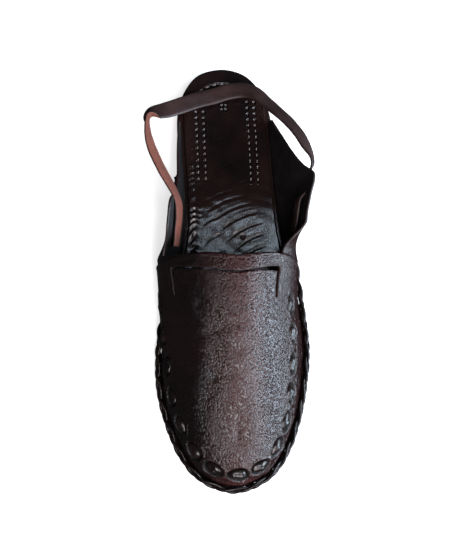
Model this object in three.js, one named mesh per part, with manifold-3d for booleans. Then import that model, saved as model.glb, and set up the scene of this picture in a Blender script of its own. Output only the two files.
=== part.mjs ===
// Left kolhapuri sandal with a closed vamp, flared quarters and a slack heel strap.
// Millimetres, +Z up, toe towards -Y, heel towards +Y, little-toe side towards +X.

import * as THREE from 'three';
import Module from 'manifold-3d';

const wasm = await Module();
wasm.setup();

// Driving dimensions
const SOLE_LENGTH = 283;
const BALL_WIDTH = 94.5;
const HEEL_WIDTH = 65;
const TOE_SKEW = 3;
const OUTSOLE_THICKNESS = 4.5;
const INSOLE_THICKNESS = 2.6;
const INSOLE_TAPER_LENGTH = 18;
const INSOLE_TAPER_LEAD = 4;
const HEEL_LIFT_THICKNESS = 3.85;
const HEEL_LIFT_COUNT = 2;
const HEEL_LIFT_INSET = 2.6;
const HEEL_LIFT_SETBACK = 1.0;
const HEEL_LENGTH = 90;
const HEEL_FRONT_SLANT = 6;
const TOE_SPRING = 6;
const WAIST_LEAD = 2;
const FLAT_START = 152;
const FLAT_END = 226;
const EDGE_CHAMFER = 0.8;

const WALL = 2.0;
const INSTEP_HEIGHT = 53;
const QUARTER_HEIGHT = 41;
const BAND_START = 143;
const BAND_WIDTH = 11;
const BAND_DIP = 5;
const BAND_BLEND = 18;
const TOE_START = 225;
const QUARTER_START = 40;
const SLIT_WIDTH = 1.2;
const SLIT_GAPE = 3;
const SLIT_LEG = 17;

const STRAP_WIDTH = 12;
const STRAP_THICKNESS = 1.8;
const THONG_WIDTH = 5;
const THONG_THICKNESS = 1.4;
const OVAL_LENGTH = 12.5;
const OVAL_WIDTH = 8;
const OVAL_RISE = 2.6;
const OVAL_PITCH = 19;
const OVAL_COUNT = 15;
const OVAL_HEIGHT = 15;
const OVAL_CLIMB_MEDIAL = 4;
const OVAL_CLIMB_LATERAL = 13;
const BRAID_BULGE = 3.4;
const BRAID_HEIGHT = 8;
const BRAID_PITCH = 14;
const BRAID_START = 79;
const BRAID_FOOT = 0.3;
const PLAIT_RELIEF = 0.3;
const BRAID_CLEARANCE = 1.2;

const GAP = 0.3;
const RIM_INSET = 0.4;
const WALL_SLOPE_ROOM = 1.7;

// Mesh densities
const OUTLINE_POINTS = 720;
const SOLE_ROWS = 38;
const QUARTER_ROWS = 11;
const VAMP_ROWS = 8;
const TOE_ROWS = 8;
const QUARTER_COLUMNS = 6;
const SPINE_COLUMNS = 4;
const HALVINGS = 24;

// Sole outline: place along the sole and half widths, as shares of the width that each row follows.
// heelPart says how far a row follows the heel width rather than the ball width.
const SOLE_TABLE = [
  { place: 0.014, lateral: 0.225, medial: 0.255, heelPart: 1 },
  { place: 0.05, lateral: 0.375, medial: 0.395, heelPart: 1 },
  { place: 0.11, lateral: 0.478, medial: 0.482, heelPart: 1 },
  { place: 0.20, lateral: 0.505, medial: 0.492, heelPart: 1 },
  { place: 0.30, lateral: 0.520, medial: 0.476, heelPart: 1 },
  { place: 0.40, lateral: 0.487, medial: 0.424, heelPart: 0.7 },
  { place: 0.50, lateral: 0.495, medial: 0.430, heelPart: 0.4 },
  { place: 0.60, lateral: 0.503, medial: 0.455, heelPart: 0.15 },
  { place: 0.70, lateral: 0.498, medial: 0.490, heelPart: 0 },
  { place: 0.78, lateral: 0.463, medial: 0.490, heelPart: 0 },
  { place: 0.86, lateral: 0.398, medial: 0.436, heelPart: 0 },
  { place: 0.93, lateral: 0.300, medial: 0.350, heelPart: 0 },
  { place: 0.975, lateral: 0.180, medial: 0.235, heelPart: 0 },
];

// Outer height of the vamp's ridge, as shares of the instep height above the sole.
const RIDGE_TABLE = [
  { place: 0.50, height: 1.0 },
  { place: 0.565, height: 0.995 },
  { place: 0.65, height: 0.93 },
  { place: 0.74, height: 0.80 },
  { place: 0.83, height: 0.65 },
  { place: 0.92, height: 0.47 },
];

// Cross sections of the vamp. out1 is how far the lower control point stands outside the rim, as a share
// of the ball width; up1 and up2 are shares of the ridge's local height; in2 is a share of the way inwards.
const VAMP_TABLE = {
  lateral: [
    { place: 0.505, out1: 0.120, up1: 0.42, in2: 0.22, up2: 1.02 },
    { place: 0.60, out1: -0.030, up1: 0.33, in2: 0.38, up2: 1.02 },
    { place: 0.707, out1: -0.045, up1: 0.30, in2: 0.42, up2: 1.0 },
    { place: 0.795, out1: -0.025, up1: 0.34, in2: 0.42, up2: 1.0 },
    { place: 1.0, out1: 0.012, up1: 0.55, in2: 0.32, up2: 0.98 },
  ],
  medial: [
    { place: 0.505, out1: 0.360, up1: 0.36, in2: 0.06, up2: 1.02 },
    { place: 0.60, out1: 0.200, up1: 0.38, in2: 0.20, up2: 1.02 },
    { place: 0.707, out1: 0.040, up1: 0.40, in2: 0.34, up2: 1.0 },
    { place: 0.795, out1: 0.025, up1: 0.42, in2: 0.38, up2: 1.0 },
    { place: 1.0, out1: 0.012, up1: 0.55, in2: 0.32, up2: 0.98 },
  ],
};

// Top edge of each quarter. out is how far it stands outside the rim, as a share of the ball width, and up
// is a share of the quarter height.
const QUARTER_TABLE = {
  lateral: [
    { place: 0.141, out: 0.010, up: 0.12 },
    { place: 0.195, out: 0.050, up: 0.36 },
    { place: 0.248, out: 0.092, up: 0.58 },
    { place: 0.300, out: 0.140, up: 0.82 },
    { place: 0.336, out: 0.196, up: 1.0 },
    { place: 0.392, out: 0.150, up: 0.98 },
    { place: 0.442, out: 0.098, up: 0.99 },
    { place: 0.505, out: 0.060, up: 1.0 },
  ],
  medial: [
    { place: 0.141, out: 0.010, up: 0.11 },
    { place: 0.230, out: 0.030, up: 0.20 },
    { place: 0.300, out: 0.046, up: 0.34 },
    { place: 0.345, out: 0.068, up: 0.56 },
    { place: 0.388, out: 0.108, up: 0.97 },
    { place: 0.442, out: 0.112, up: 1.0 },
    { place: 0.505, out: 0.095, up: 1.0 },
  ],
};
const QUARTER_SPLIT = { lateral: 0.62, medial: 0.44 };

// The slit's legs, as shares of the vamp's height, and its form, as shares of its own sizes.
const SLIT_PLACE = { lateral: 0.66, medial: 0.54 };
const SLIT_TOP = 0.995;
const SLIT_BOW = 0.2;
const SLIT_GAPE_START = 0.4;
const SLIT_LEG_TAPER = 0.35;

// How far each side's ovals turn up from the wall's own direction, as a share of straight up.
const OVAL_TILT = { lateral: 0.35, medial: 0.12 };

// How deep an oval's middle lies, as a share of the wall, and the highest share of the vamp for a rail.
const OVAL_SEAT = 0.6;
const RAIL_LIMIT = 0.8;

// Value of a table's column at a place, on a smooth curve through its rows.
function lookUp(table, column, place) {
  let i = 0;
  while (i < table.length - 2 && table[i + 1].place < place) i += 1;
  const a = table[i];
  const b = table[i + 1];
  const before = table[Math.max(i - 1, 0)];
  const after = table[Math.min(i + 2, table.length - 1)];
  const span = b.place - a.place;
  const t = THREE.MathUtils.clamp((place - a.place) / span, 0, 1);
  const slopeA = ((b[column] - before[column]) / (b.place - before.place)) * span;
  const slopeB = ((after[column] - a[column]) / (after.place - a.place)) * span;
  const t2 = t * t;
  const t3 = t2 * t;
  return (2 * t3 - 3 * t2 + 1) * a[column] + (t3 - 2 * t2 + t) * slopeA
    + (3 * t2 - 2 * t3) * b[column] + (t3 - t2) * slopeB;
}

function soleWidth(row) {
  return THREE.MathUtils.lerp(BALL_WIDTH, HEEL_WIDTH, row.heelPart);
}

// Sole outline as one closed curve, split into a medial and a lateral chain from heel to toe.
// The heel's back is at y = 0 while the shapes are worked out, and the toe is at y = -SOLE_LENGTH.
function makeChains() {
  const lateral = SOLE_TABLE.map((row) => (
    new THREE.Vector3(row.lateral * soleWidth(row), -row.place * SOLE_LENGTH, 0)));
  const medial = SOLE_TABLE.map((row) => (
    new THREE.Vector3(-row.medial * soleWidth(row), -row.place * SOLE_LENGTH, 0)));
  const toe = new THREE.Vector3(-TOE_SKEW, -SOLE_LENGTH, 0);
  const heel = new THREE.Vector3(0, 0, 0);
  const corners = [heel, ...lateral, toe, ...medial.reverse()];
  const loop = new THREE.CatmullRomCurve3(corners, true, 'centripetal');
  loop.arcLengthDivisions = OUTLINE_POINTS;
  const points = loop.getSpacedPoints(OUTLINE_POINTS).slice(0, OUTLINE_POINTS);
  let tip = 0;
  points.forEach((p, i) => {
    if (p.distanceTo(toe) < points[tip].distanceTo(toe)) tip = i;
  });
  points[tip].copy(toe);
  return {
    lateral: points.slice(0, tip + 1),
    medial: [points[0], ...points.slice(tip).reverse()],
  };
}

const CHAINS = makeChains();

function chainLength(side) {
  const chain = CHAINS[side];
  let length = 0;
  for (let i = 1; i < chain.length; i += 1) length += chain[i].distanceTo(chain[i - 1]);
  return length;
}

const CHAIN_LENGTHS = { medial: chainLength('medial'), lateral: chainLength('lateral') };

// Point and outward direction of the outline at a share of a side's length, moved inwards by inset.
function outlineAt(side, share, inset) {
  const chain = CHAINS[side];
  const at = THREE.MathUtils.clamp(share, 0, 1) * (chain.length - 1);
  const i = Math.min(Math.floor(at), chain.length - 2);
  const point = chain[i].clone().lerp(chain[i + 1], at - i);
  const ahead = chain[Math.min(i + 3, chain.length - 1)];
  const behind = chain[Math.max(i - 2, 0)];
  const along = ahead.clone().sub(behind).normalize();
  const turn = side === 'lateral' ? 1 : -1;
  if (share <= 0) along.set(turn, 0, 0);
  if (share >= 1) along.set(-turn, 0, 0);
  const out = new THREE.Vector3(-along.y * turn, along.x * turn, 0);
  return { point: point.addScaledVector(out, -inset), out };
}

// Share of a side's chain at which the outline is a given distance from the heel's back.
function shareAt(side, distance) {
  const chain = CHAINS[side];
  let i = 1;
  while (i < chain.length - 1 && -chain[i].y < distance) i += 1;
  const t = (distance + chain[i - 1].y) / (chain[i - 1].y - chain[i].y);
  return (i - 1 + t) / (chain.length - 1);
}

// Height of the outsole's underside: on the heel lifts, down the waist, flat at the ball, up at the toe.
const HEEL_STACK = HEEL_LIFT_COUNT * (HEEL_LIFT_THICKNESS + GAP);

function underside(distance) {
  const front = HEEL_LENGTH + WAIST_LEAD;
  if (distance <= front) return HEEL_STACK;
  if (distance < FLAT_START) {
    return HEEL_STACK * (1 - THREE.MathUtils.smoothstep(distance, front, FLAT_START));
  }
  if (distance <= FLAT_END) return 0;
  const t = (distance - FLAT_END) / (SOLE_LENGTH - FLAT_END);
  return TOE_SPRING * t * t;
}

function rimHeight(distance) {
  return underside(distance) + OUTSOLE_THICKNESS + GAP;
}

// Closed mesh from faces given as lists of points, with points at one place joined.
class Solid {
  constructor() {
    this.places = new Map();
    this.points = [];
    this.faces = [];
  }

  point(p) {
    const key = [p.x, p.y, p.z].map((n) => Math.round(n * 1e4)).join();
    if (!this.places.has(key)) {
      this.places.set(key, this.points.length);
      this.points.push(p.clone());
    }
    return this.places.get(key);
  }

  triangle(a, b, c) {
    const face = [this.point(a), this.point(b), this.point(c)];
    if (new Set(face).size === 3) this.faces.push(face);
  }

  quad(a, b, c, d) {
    this.triangle(a, b, c);
    this.triangle(a, c, d);
  }

  manifold() {
    const vertProperties = new Float32Array(this.points.flatMap((p) => [p.x, p.y, p.z]));
    const triVerts = new Uint32Array(this.faces.flat());
    return new wasm.Manifold(new wasm.Mesh({ numProp: 3, vertProperties, triVerts }));
  }
}

// Solid through a list of closed sections that all have the same number of points.
function loftSections(sections) {
  const solid = new Solid();
  const count = sections[0].length;
  for (let i = 0; i < sections.length - 1; i += 1) {
    for (let j = 0; j < count; j += 1) {
      const k = (j + 1) % count;
      solid.quad(sections[i][j], sections[i][k], sections[i + 1][k], sections[i + 1][j]);
    }
  }
  const cap = (section, flip) => {
    for (let j = 1; j < count - 1; j += 1) {
      if (flip) solid.triangle(section[0], section[j], section[j + 1]);
      else solid.triangle(section[0], section[j + 1], section[j]);
    }
  };
  cap(sections[0], false);
  cap(sections[sections.length - 1], true);
  const made = solid.manifold();
  if (made.volume() > 0) return made;
  const turned = new Solid();
  solid.faces.forEach((f) => turned.triangle(solid.points[f[0]], solid.points[f[2]], solid.points[f[1]]));
  return turned.manifold();
}

// Layer of the sole between two sides' outline points, with chamfered edges.
function layer(rows, thickness) {
  const sections = rows.map(({ medial, lateral, bottomMedial, bottomLateral }) => {
    const across = lateral.clone().sub(medial);
    const half = across.length() / 2;
    const chamfer = Math.min(EDGE_CHAMFER, half * 0.9);
    const step = half > 0 ? across.normalize().multiplyScalar(chamfer) : new THREE.Vector3();
    const at = (p, z) => new THREE.Vector3(p.x, p.y, z);
    const left = medial.clone().add(step);
    const right = lateral.clone().sub(step);
    return [
      at(medial, bottomMedial + EDGE_CHAMFER), at(left, bottomMedial),
      at(right, bottomLateral), at(lateral, bottomLateral + EDGE_CHAMFER),
      at(lateral, bottomLateral + thickness - EDGE_CHAMFER), at(right, bottomLateral + thickness),
      at(left, bottomMedial + thickness), at(medial, bottomMedial + thickness - EDGE_CHAMFER),
    ];
  });
  return loftSections(sections);
}

function easedShare(i, rows) {
  return 0.5 - 0.5 * Math.cos((Math.PI * i) / rows);
}

function fullLayer(insetAt, lift, thickness) {
  const rows = [];
  for (let i = 0; i <= SOLE_ROWS; i += 1) {
    const share = easedShare(i, SOLE_ROWS);
    const ends = ['medial', 'lateral'].map((side) => {
      const edge = outlineAt(side, share, 0).point;
      return outlineAt(side, share, insetAt(-edge.y)).point;
    });
    rows.push({
      medial: ends[0],
      lateral: ends[1],
      bottomMedial: underside(-ends[0].y) + lift,
      bottomLateral: underside(-ends[1].y) + lift,
    });
  }
  return layer(rows, thickness);
}

function makeOutsole() {
  return fullLayer(() => 0, 0, OUTSOLE_THICKNESS);
}

// The insole runs to the edge round the heel and stops inside the upper's wall further forward.
function insoleInset(distance) {
  const inside = RIM_INSET + WALL + WALL_SLOPE_ROOM + GAP;
  const end = QUARTER_START - INSOLE_TAPER_LEAD;
  const eased = THREE.MathUtils.smoothstep(distance, end - INSOLE_TAPER_LENGTH, end);
  return THREE.MathUtils.lerp(EDGE_CHAMFER, inside, eased);
}

function makeInsole() {
  return fullLayer(insoleInset, OUTSOLE_THICKNESS + GAP, INSOLE_THICKNESS);
}

function makeHeelLift(index) {
  const inset = HEEL_LIFT_INSET + HEEL_LIFT_SETBACK * (HEEL_LIFT_COUNT - 1 - index);
  const rows = [];
  const bottom = index * (HEEL_LIFT_THICKNESS + GAP);
  const endMedial = shareAt('medial', HEEL_LENGTH);
  const endLateral = shareAt('lateral', HEEL_LENGTH - HEEL_FRONT_SLANT);
  const count = Math.round(SOLE_ROWS / 2);
  for (let i = 0; i <= count; i += 1) {
    const t = 1 - Math.cos((Math.PI / 2) * (i / count));
    rows.push({
      medial: outlineAt('medial', t * endMedial, inset).point,
      lateral: outlineAt('lateral', t * endLateral, inset).point,
      bottomMedial: bottom,
      bottomLateral: bottom,
    });
  }
  return layer(rows, HEEL_LIFT_THICKNESS);
}

// Outer surface of the upper. Rows run along the rim of a side, from the quarter's rear end to the toe.
// A row is named by its share of the side's chain, and height 0 is the rim and 1 the ridge or top edge.
function ridgePoint(side, share) {
  const startShare = shareAt(side, TOE_START);
  const distance = -outlineAt(side, share, 0).point.y;
  if (share <= startShare) {
    const lead = THREE.MathUtils.clamp((TOE_START - distance) / (TOE_START - BAND_START), 0, 1);
    return ridgeAt(distance + BAND_DIP * lead);
  }
  const t = (share - startShare) / (1 - startShare);
  return ridgeAt(TOE_START + (SOLE_LENGTH - TOE_START) * (t - t * t / 2));
}

function ridgeAt(distance) {
  const place = distance / SOLE_LENGTH;
  const x = -TOE_SKEW * THREE.MathUtils.smoothstep(place, 0.7, 1);
  const z = rimHeight(FLAT_START) + INSTEP_HEIGHT * lookUp(RIDGE_TABLE, 'height', place);
  return new THREE.Vector3(x, -distance, z);
}

function bezier(points, t) {
  const s = 1 - t;
  return new THREE.Vector3()
    .addScaledVector(points[0], s * s * s)
    .addScaledVector(points[1], 3 * s * s * t)
    .addScaledVector(points[2], 3 * s * t * t)
    .addScaledVector(points[3], t * t * t);
}

function rimPoint(side, share) {
  const rim = outlineAt(side, share, RIM_INSET);
  rim.point.z = rimHeight(-rim.point.y);
  return rim;
}

function vampPoint(side, share, height) {
  const { point: rim, out } = rimPoint(side, share);
  const ridge = ridgePoint(side, share);
  const place = THREE.MathUtils.clamp(-rim.y / SOLE_LENGTH, 0, 1);
  const column = (name) => lookUp(VAMP_TABLE[side], name, place);
  const rise = ridge.z - rim.z;
  const low = rim.clone().addScaledVector(out, column('out1') * BALL_WIDTH);
  low.z = rim.z + rise * column('up1');
  const high = rim.clone().lerp(ridge, column('in2'));
  high.z = rim.z + rise * column('up2');
  return bezier([rim, low, high, ridge], height);
}

function quarterPoint(side, share, height) {
  const { point: rim, out } = rimPoint(side, share);
  const distance = -rim.y;
  const place = distance / SOLE_LENGTH;
  const reach = lookUp(QUARTER_TABLE[side], 'out', place) * BALL_WIDTH;
  const rise = lookUp(QUARTER_TABLE[side], 'up', place) * QUARTER_HEIGHT;
  const control = (outShare, upShare) => {
    const p = rim.clone().addScaledVector(out, reach * outShare);
    p.z += rise * upShare;
    return p;
  };
  const free = bezier([rim, control(0.36, 0.3), control(0.72, 0.66), control(1, 1)], height);
  const joined = THREE.MathUtils.smoothstep(distance, BAND_START - BAND_BLEND, BAND_START);
  if (joined === 0) return free;
  return free.lerp(vampPoint(side, share, height * QUARTER_SPLIT[side]), joined);
}

function surfacePoint(side, share, height) {
  if (share < shareAt(side, BAND_START)) return quarterPoint(side, share, height);
  return vampPoint(side, share, height);
}

// Outward direction of the upper's surface.
function surfaceNormal(side, share, height) {
  const step = 0.004;
  const backward = surfacePoint(side, share - step, height);
  const forward = surfacePoint(side, Math.min(share + step, 1), height);
  const down = surfacePoint(side, share, Math.max(height - step, 0));
  const up = surfacePoint(side, share, Math.min(height + step, 1));
  const normal = forward.sub(backward).cross(up.sub(down)).normalize();
  return side === 'medial' ? normal : normal.negate();
}

function columnHeights(side, isVamp) {
  const heights = [];
  for (let j = 0; j <= QUARTER_COLUMNS; j += 1) {
    heights.push((isVamp ? QUARTER_SPLIT[side] : 1) * (j / QUARTER_COLUMNS));
  }
  if (isVamp) {
    for (let j = 1; j <= SPINE_COLUMNS; j += 1) {
      heights.push(THREE.MathUtils.lerp(QUARTER_SPLIT[side], 1, j / SPINE_COLUMNS));
    }
  }
  return heights;
}

function upperRows(side) {
  const marks = {
    rear: shareAt(side, QUARTER_START),
    band: shareAt(side, BAND_START),
    toe: shareAt(side, TOE_START),
  };
  const rows = [];
  const add = (share, isVamp) => {
    rows.push(columnHeights(side, isVamp).map((height) => (
      isVamp ? vampPoint(side, share, height) : quarterPoint(side, share, height))));
  };
  for (let i = 0; i < QUARTER_ROWS; i += 1) {
    add(THREE.MathUtils.lerp(marks.rear, marks.band, i / QUARTER_ROWS), false);
  }
  for (let i = 0; i < VAMP_ROWS; i += 1) {
    add(THREE.MathUtils.lerp(marks.band, marks.toe, i / VAMP_ROWS), true);
  }
  for (let i = 0; i <= TOE_ROWS; i += 1) {
    add(THREE.MathUtils.lerp(marks.toe, 1, i / TOE_ROWS), true);
  }
  return rows;
}

// The two sides meet on the ridge, where the lateral side takes the medial side's points.
function upperSheet() {
  const sheet = new Solid();
  const medialRows = upperRows('medial');
  const lateralRows = upperRows('lateral');
  const last = QUARTER_COLUMNS + SPINE_COLUMNS;
  lateralRows.forEach((row, i) => {
    if (row.length > last) {
      const middle = medialRows[i][last].clone().lerp(row[last], 0.5);
      row[last].copy(middle);
      medialRows[i][last].copy(middle);
    }
  });
  lateralRows[lateralRows.length - 1].forEach((p, j) => p.copy(medialRows[medialRows.length - 1][j]));
  const addSide = (rows, flip) => {
    for (let i = 0; i < rows.length - 1; i += 1) {
      const columns = Math.min(rows[i].length, rows[i + 1].length) - 1;
      for (let j = 0; j < columns; j += 1) {
        const corners = [rows[i][j], rows[i + 1][j], rows[i + 1][j + 1], rows[i][j + 1]];
        if (flip) corners.reverse();
        sheet.quad(...corners);
      }
    }
  };
  addSide(medialRows, false);
  addSide(lateralRows, true);
  return sheet;
}

// A sheet given a wall inwards from its outer face, closed round its free edges.
function thicken(sheet, wall) {
  const normals = sheet.points.map(() => new THREE.Vector3());
  const edges = new Map();
  sheet.faces.forEach((face) => {
    const [a, b, c] = face.map((i) => sheet.points[i]);
    const normal = b.clone().sub(a).cross(c.clone().sub(a));
    face.forEach((i, k) => {
      normals[i].add(normal);
      const j = face[(k + 1) % 3];
      edges.set(`${i},${j}`, [i, j]);
    });
  });
  const inner = sheet.points.map((p, i) => {
    const normal = normals[i].normalize();
    const onRim = Math.abs(p.z - rimHeight(-p.y)) < 0.05;
    if (onRim) normal.setZ(0).normalize();
    return p.clone().addScaledVector(normal, -wall);
  });
  const solid = new Solid();
  sheet.faces.forEach(([a, b, c]) => {
    solid.triangle(sheet.points[a], sheet.points[b], sheet.points[c]);
    solid.triangle(inner[a], inner[c], inner[b]);
  });
  edges.forEach(([a, b]) => {
    if (!edges.has(`${b},${a}`)) solid.quad(sheet.points[b], sheet.points[a], inner[a], inner[b]);
  });
  return solid.manifold();
}

// Flat strip along rows of { point, across, width, thickness }, with its corners taken off.
function ribbon(rows) {
  const sections = rows.map((row, i) => {
    const ahead = rows[Math.min(i + 1, rows.length - 1)].point;
    const behind = rows[Math.max(i - 1, 0)].point;
    const along = ahead.clone().sub(behind).normalize();
    const across = row.across.clone().addScaledVector(along, -row.across.dot(along)).normalize();
    const normal = along.clone().cross(across);
    const w = row.width / 2;
    const t = row.thickness / 2;
    const cut = Math.min(w, t) * 0.5;
    const corners = [[w, t - cut], [w - cut, t], [cut - w, t], [-w, t - cut],
      [-w, cut - t], [cut - w, -t], [w - cut, -t], [w, cut - t]];
    return corners.map(([a, b]) => (
      row.point.clone().addScaledVector(across, a).addScaledVector(normal, b)));
  });
  return loftSections(sections);
}

// Slit shaped like an upside-down U that parts the instep band from the vamp.
function makeSlit() {
  const depth = WALL * 3;
  const rows = [];
  const add = (side, distance, height, thickness) => {
    const share = shareAt(side, distance);
    const across = surfaceNormal(side, share, height);
    const point = vampPoint(side, share, height).addScaledVector(across, -WALL / 2);
    rows.push({ point, across, width: depth, thickness });
  };
  const slitLine = BAND_START + BAND_WIDTH;
  const steps = 6;
  const legLine = slitLine - BAND_WIDTH * SLIT_BOW;
  for (let i = 0; i < steps; i += 1) {
    add('medial', legLine + SLIT_LEG * (1 - i / steps), SLIT_PLACE.medial, SLIT_WIDTH);
  }
  for (let i = 0; i <= steps; i += 1) {
    const t = i / steps;
    const distance = THREE.MathUtils.lerp(legLine, slitLine, THREE.MathUtils.smoothstep(t, 0, 1));
    add('medial', distance, THREE.MathUtils.lerp(SLIT_PLACE.medial, SLIT_TOP, t), SLIT_WIDTH);
  }
  for (let i = 1; i <= steps; i += 1) {
    const t = i / steps;
    const distance = THREE.MathUtils.lerp(slitLine, legLine, THREE.MathUtils.smoothstep(t, 0, 1));
    const opened = THREE.MathUtils.smoothstep(t, SLIT_GAPE_START, 1);
    const width = THREE.MathUtils.lerp(SLIT_WIDTH, SLIT_GAPE, opened);
    add('lateral', distance, THREE.MathUtils.lerp(SLIT_TOP, SLIT_PLACE.lateral, t), width);
  }
  for (let i = 1; i <= steps; i += 1) {
    const width = SLIT_GAPE * (1 - SLIT_LEG_TAPER * i / steps);
    add('lateral', legLine + SLIT_LEG * (i / steps), SLIT_PLACE.lateral, width);
  }
  return ribbon(rows);
}

// Height of the thong above the rim, which climbs along each side from the toe.
function ovalRise(offset) {
  const along = Math.abs(offset) / (OVAL_PITCH * (OVAL_COUNT - 1) / 2);
  return OVAL_HEIGHT + (offset < 0 ? OVAL_CLIMB_MEDIAL : OVAL_CLIMB_LATERAL) * along * along;
}

// Place on the upper at a length along the rim from the toe, and a rise above the rim.
function railPlace(offset, rise) {
  const side = offset < 0 ? 'medial' : 'lateral';
  const share = 1 - Math.abs(offset) / CHAIN_LENGTHS[side];
  const rim = rimPoint(side, share).point;
  let low = 0;
  let high = RAIL_LIMIT;
  for (let i = 0; i < HALVINGS; i += 1) {
    const middle = (low + high) / 2;
    if (surfacePoint(side, share, middle).z - rim.z < rise) low = middle;
    else high = middle;
  }
  return {
    side, share, height: low,
    point: surfacePoint(side, share, low),
    normal: surfaceNormal(side, Math.min(share, 0.992), low),
  };
}

function ellipsoid(radii, place, along) {
  const normal = place.normal.clone().addScaledVector(along, -place.normal.dot(along)).normalize();
  const across = normal.clone().cross(along);
  const rings = 4;
  const sides = 8;
  const sections = [];
  for (let i = 0; i <= rings; i += 1) {
    const polar = (Math.PI * i) / rings;
    const section = [];
    for (let j = 0; j < sides; j += 1) {
      const turn = (2 * Math.PI * j) / sides;
      section.push(place.centre.clone()
        .addScaledVector(normal, radii.normal * Math.cos(polar))
        .addScaledVector(along, radii.along * Math.sin(polar) * Math.cos(turn))
        .addScaledVector(across, radii.across * Math.sin(polar) * Math.sin(turn)));
    }
    sections.push(section);
  }
  return loftSections(sections);
}

function ovals(clearance) {
  const made = [];
  const first = -OVAL_PITCH * (OVAL_COUNT - 1) / 2;
  for (let i = 0; i < OVAL_COUNT; i += 1) {
    const offset = first + i * OVAL_PITCH;
    const place = railPlace(offset, ovalRise(offset));
    const ahead = railPlace(offset + 2, ovalRise(offset + 2)).point;
    const behind = railPlace(offset - 2, ovalRise(offset - 2)).point;
    const along = ahead.sub(behind).normalize();
    place.normal.z += OVAL_TILT[place.side];
    place.normal.normalize();
    place.centre = place.point.clone().addScaledVector(place.normal, -WALL * OVAL_SEAT);
    const radii = {
      along: OVAL_LENGTH / 2 + clearance,
      across: OVAL_WIDTH / 2 + clearance,
      normal: OVAL_RISE + WALL * OVAL_SEAT + clearance,
    };
    made.push(ellipsoid(radii, place, along));
  }
  return made;
}

function makeThong() {
  const rows = [];
  const reach = OVAL_PITCH * (OVAL_COUNT - 1) / 2 + OVAL_LENGTH / 2;
  const steps = OVAL_COUNT * 2;
  for (let i = 0; i <= steps; i += 1) {
    const offset = THREE.MathUtils.lerp(-reach, reach, i / steps);
    const place = railPlace(offset, ovalRise(offset));
    const depth = WALL + GAP * 2 + THONG_THICKNESS / 2;
    const point = place.point.clone().addScaledVector(place.normal, -depth);
    const rise = new THREE.Vector3(0, 0, 1).addScaledVector(place.normal, -place.normal.z).normalize();
    rows.push({ point, across: rise, width: THONG_WIDTH, thickness: THONG_THICKNESS });
  }
  return ovals(0).reduce((whole, oval) => whole.add(oval), ribbon(rows));
}

// Plaited rim outside the joint between upper and sole. Its two strands bulge in turn.
function makeBraid() {
  const sections = [];
  const arcPoints = 4;
  const start = shareAt('medial', BRAID_START);
  const end = shareAt('lateral', BRAID_START);
  const reachMedial = CHAIN_LENGTHS.medial * (1 - start);
  const reachLateral = CHAIN_LENGTHS.lateral * (1 - end);
  const spacing = BRAID_PITCH / 5;
  const steps = Math.round((reachMedial + reachLateral) / spacing);
  for (let i = 0; i <= steps; i += 1) {
    const offset = THREE.MathUtils.lerp(-reachMedial, reachLateral, i / steps);
    const side = offset < 0 ? 'medial' : 'lateral';
    const share = 1 - Math.abs(offset) / CHAIN_LENGTHS[side];
    const edge = outlineAt(side, share, -GAP);
    const base = underside(-edge.point.y);
    const foot = edge.point.clone().setZ(base + OUTSOLE_THICKNESS * BRAID_FOOT);
    const corner = edge.point.clone().setZ(base + OUTSOLE_THICKNESS);
    const rise = base + OUTSOLE_THICKNESS * BRAID_FOOT + BRAID_HEIGHT - rimHeight(-edge.point.y);
    const wallPlace = railPlace(offset, rise);
    const top = wallPlace.point.clone().addScaledVector(edge.out, BRAID_CLEARANCE);
    const phase = (2 * Math.PI * offset) / BRAID_PITCH;
    const taper = Math.min(1, Math.min(i, steps - i) / 4 + 0.35);
    const section = [corner, foot];
    for (let j = 1; j <= arcPoints; j += 1) {
      const turn = (Math.PI * j) / (arcPoints + 1);
      const strand = Math.cos(turn) * Math.sin(phase) * PLAIT_RELIEF * 1.6
        + Math.cos(2 * phase) * PLAIT_RELIEF * 0.5;
      const bulge = BRAID_BULGE * Math.sin(turn) * (1 + strand) * taper;
      section.push(foot.clone().lerp(top, 0.5 - 0.5 * Math.cos(turn)).addScaledVector(edge.out, bulge));
    }
    section.push(top);
    sections.push(section);
  }
  return loftSections(sections);
}

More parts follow.
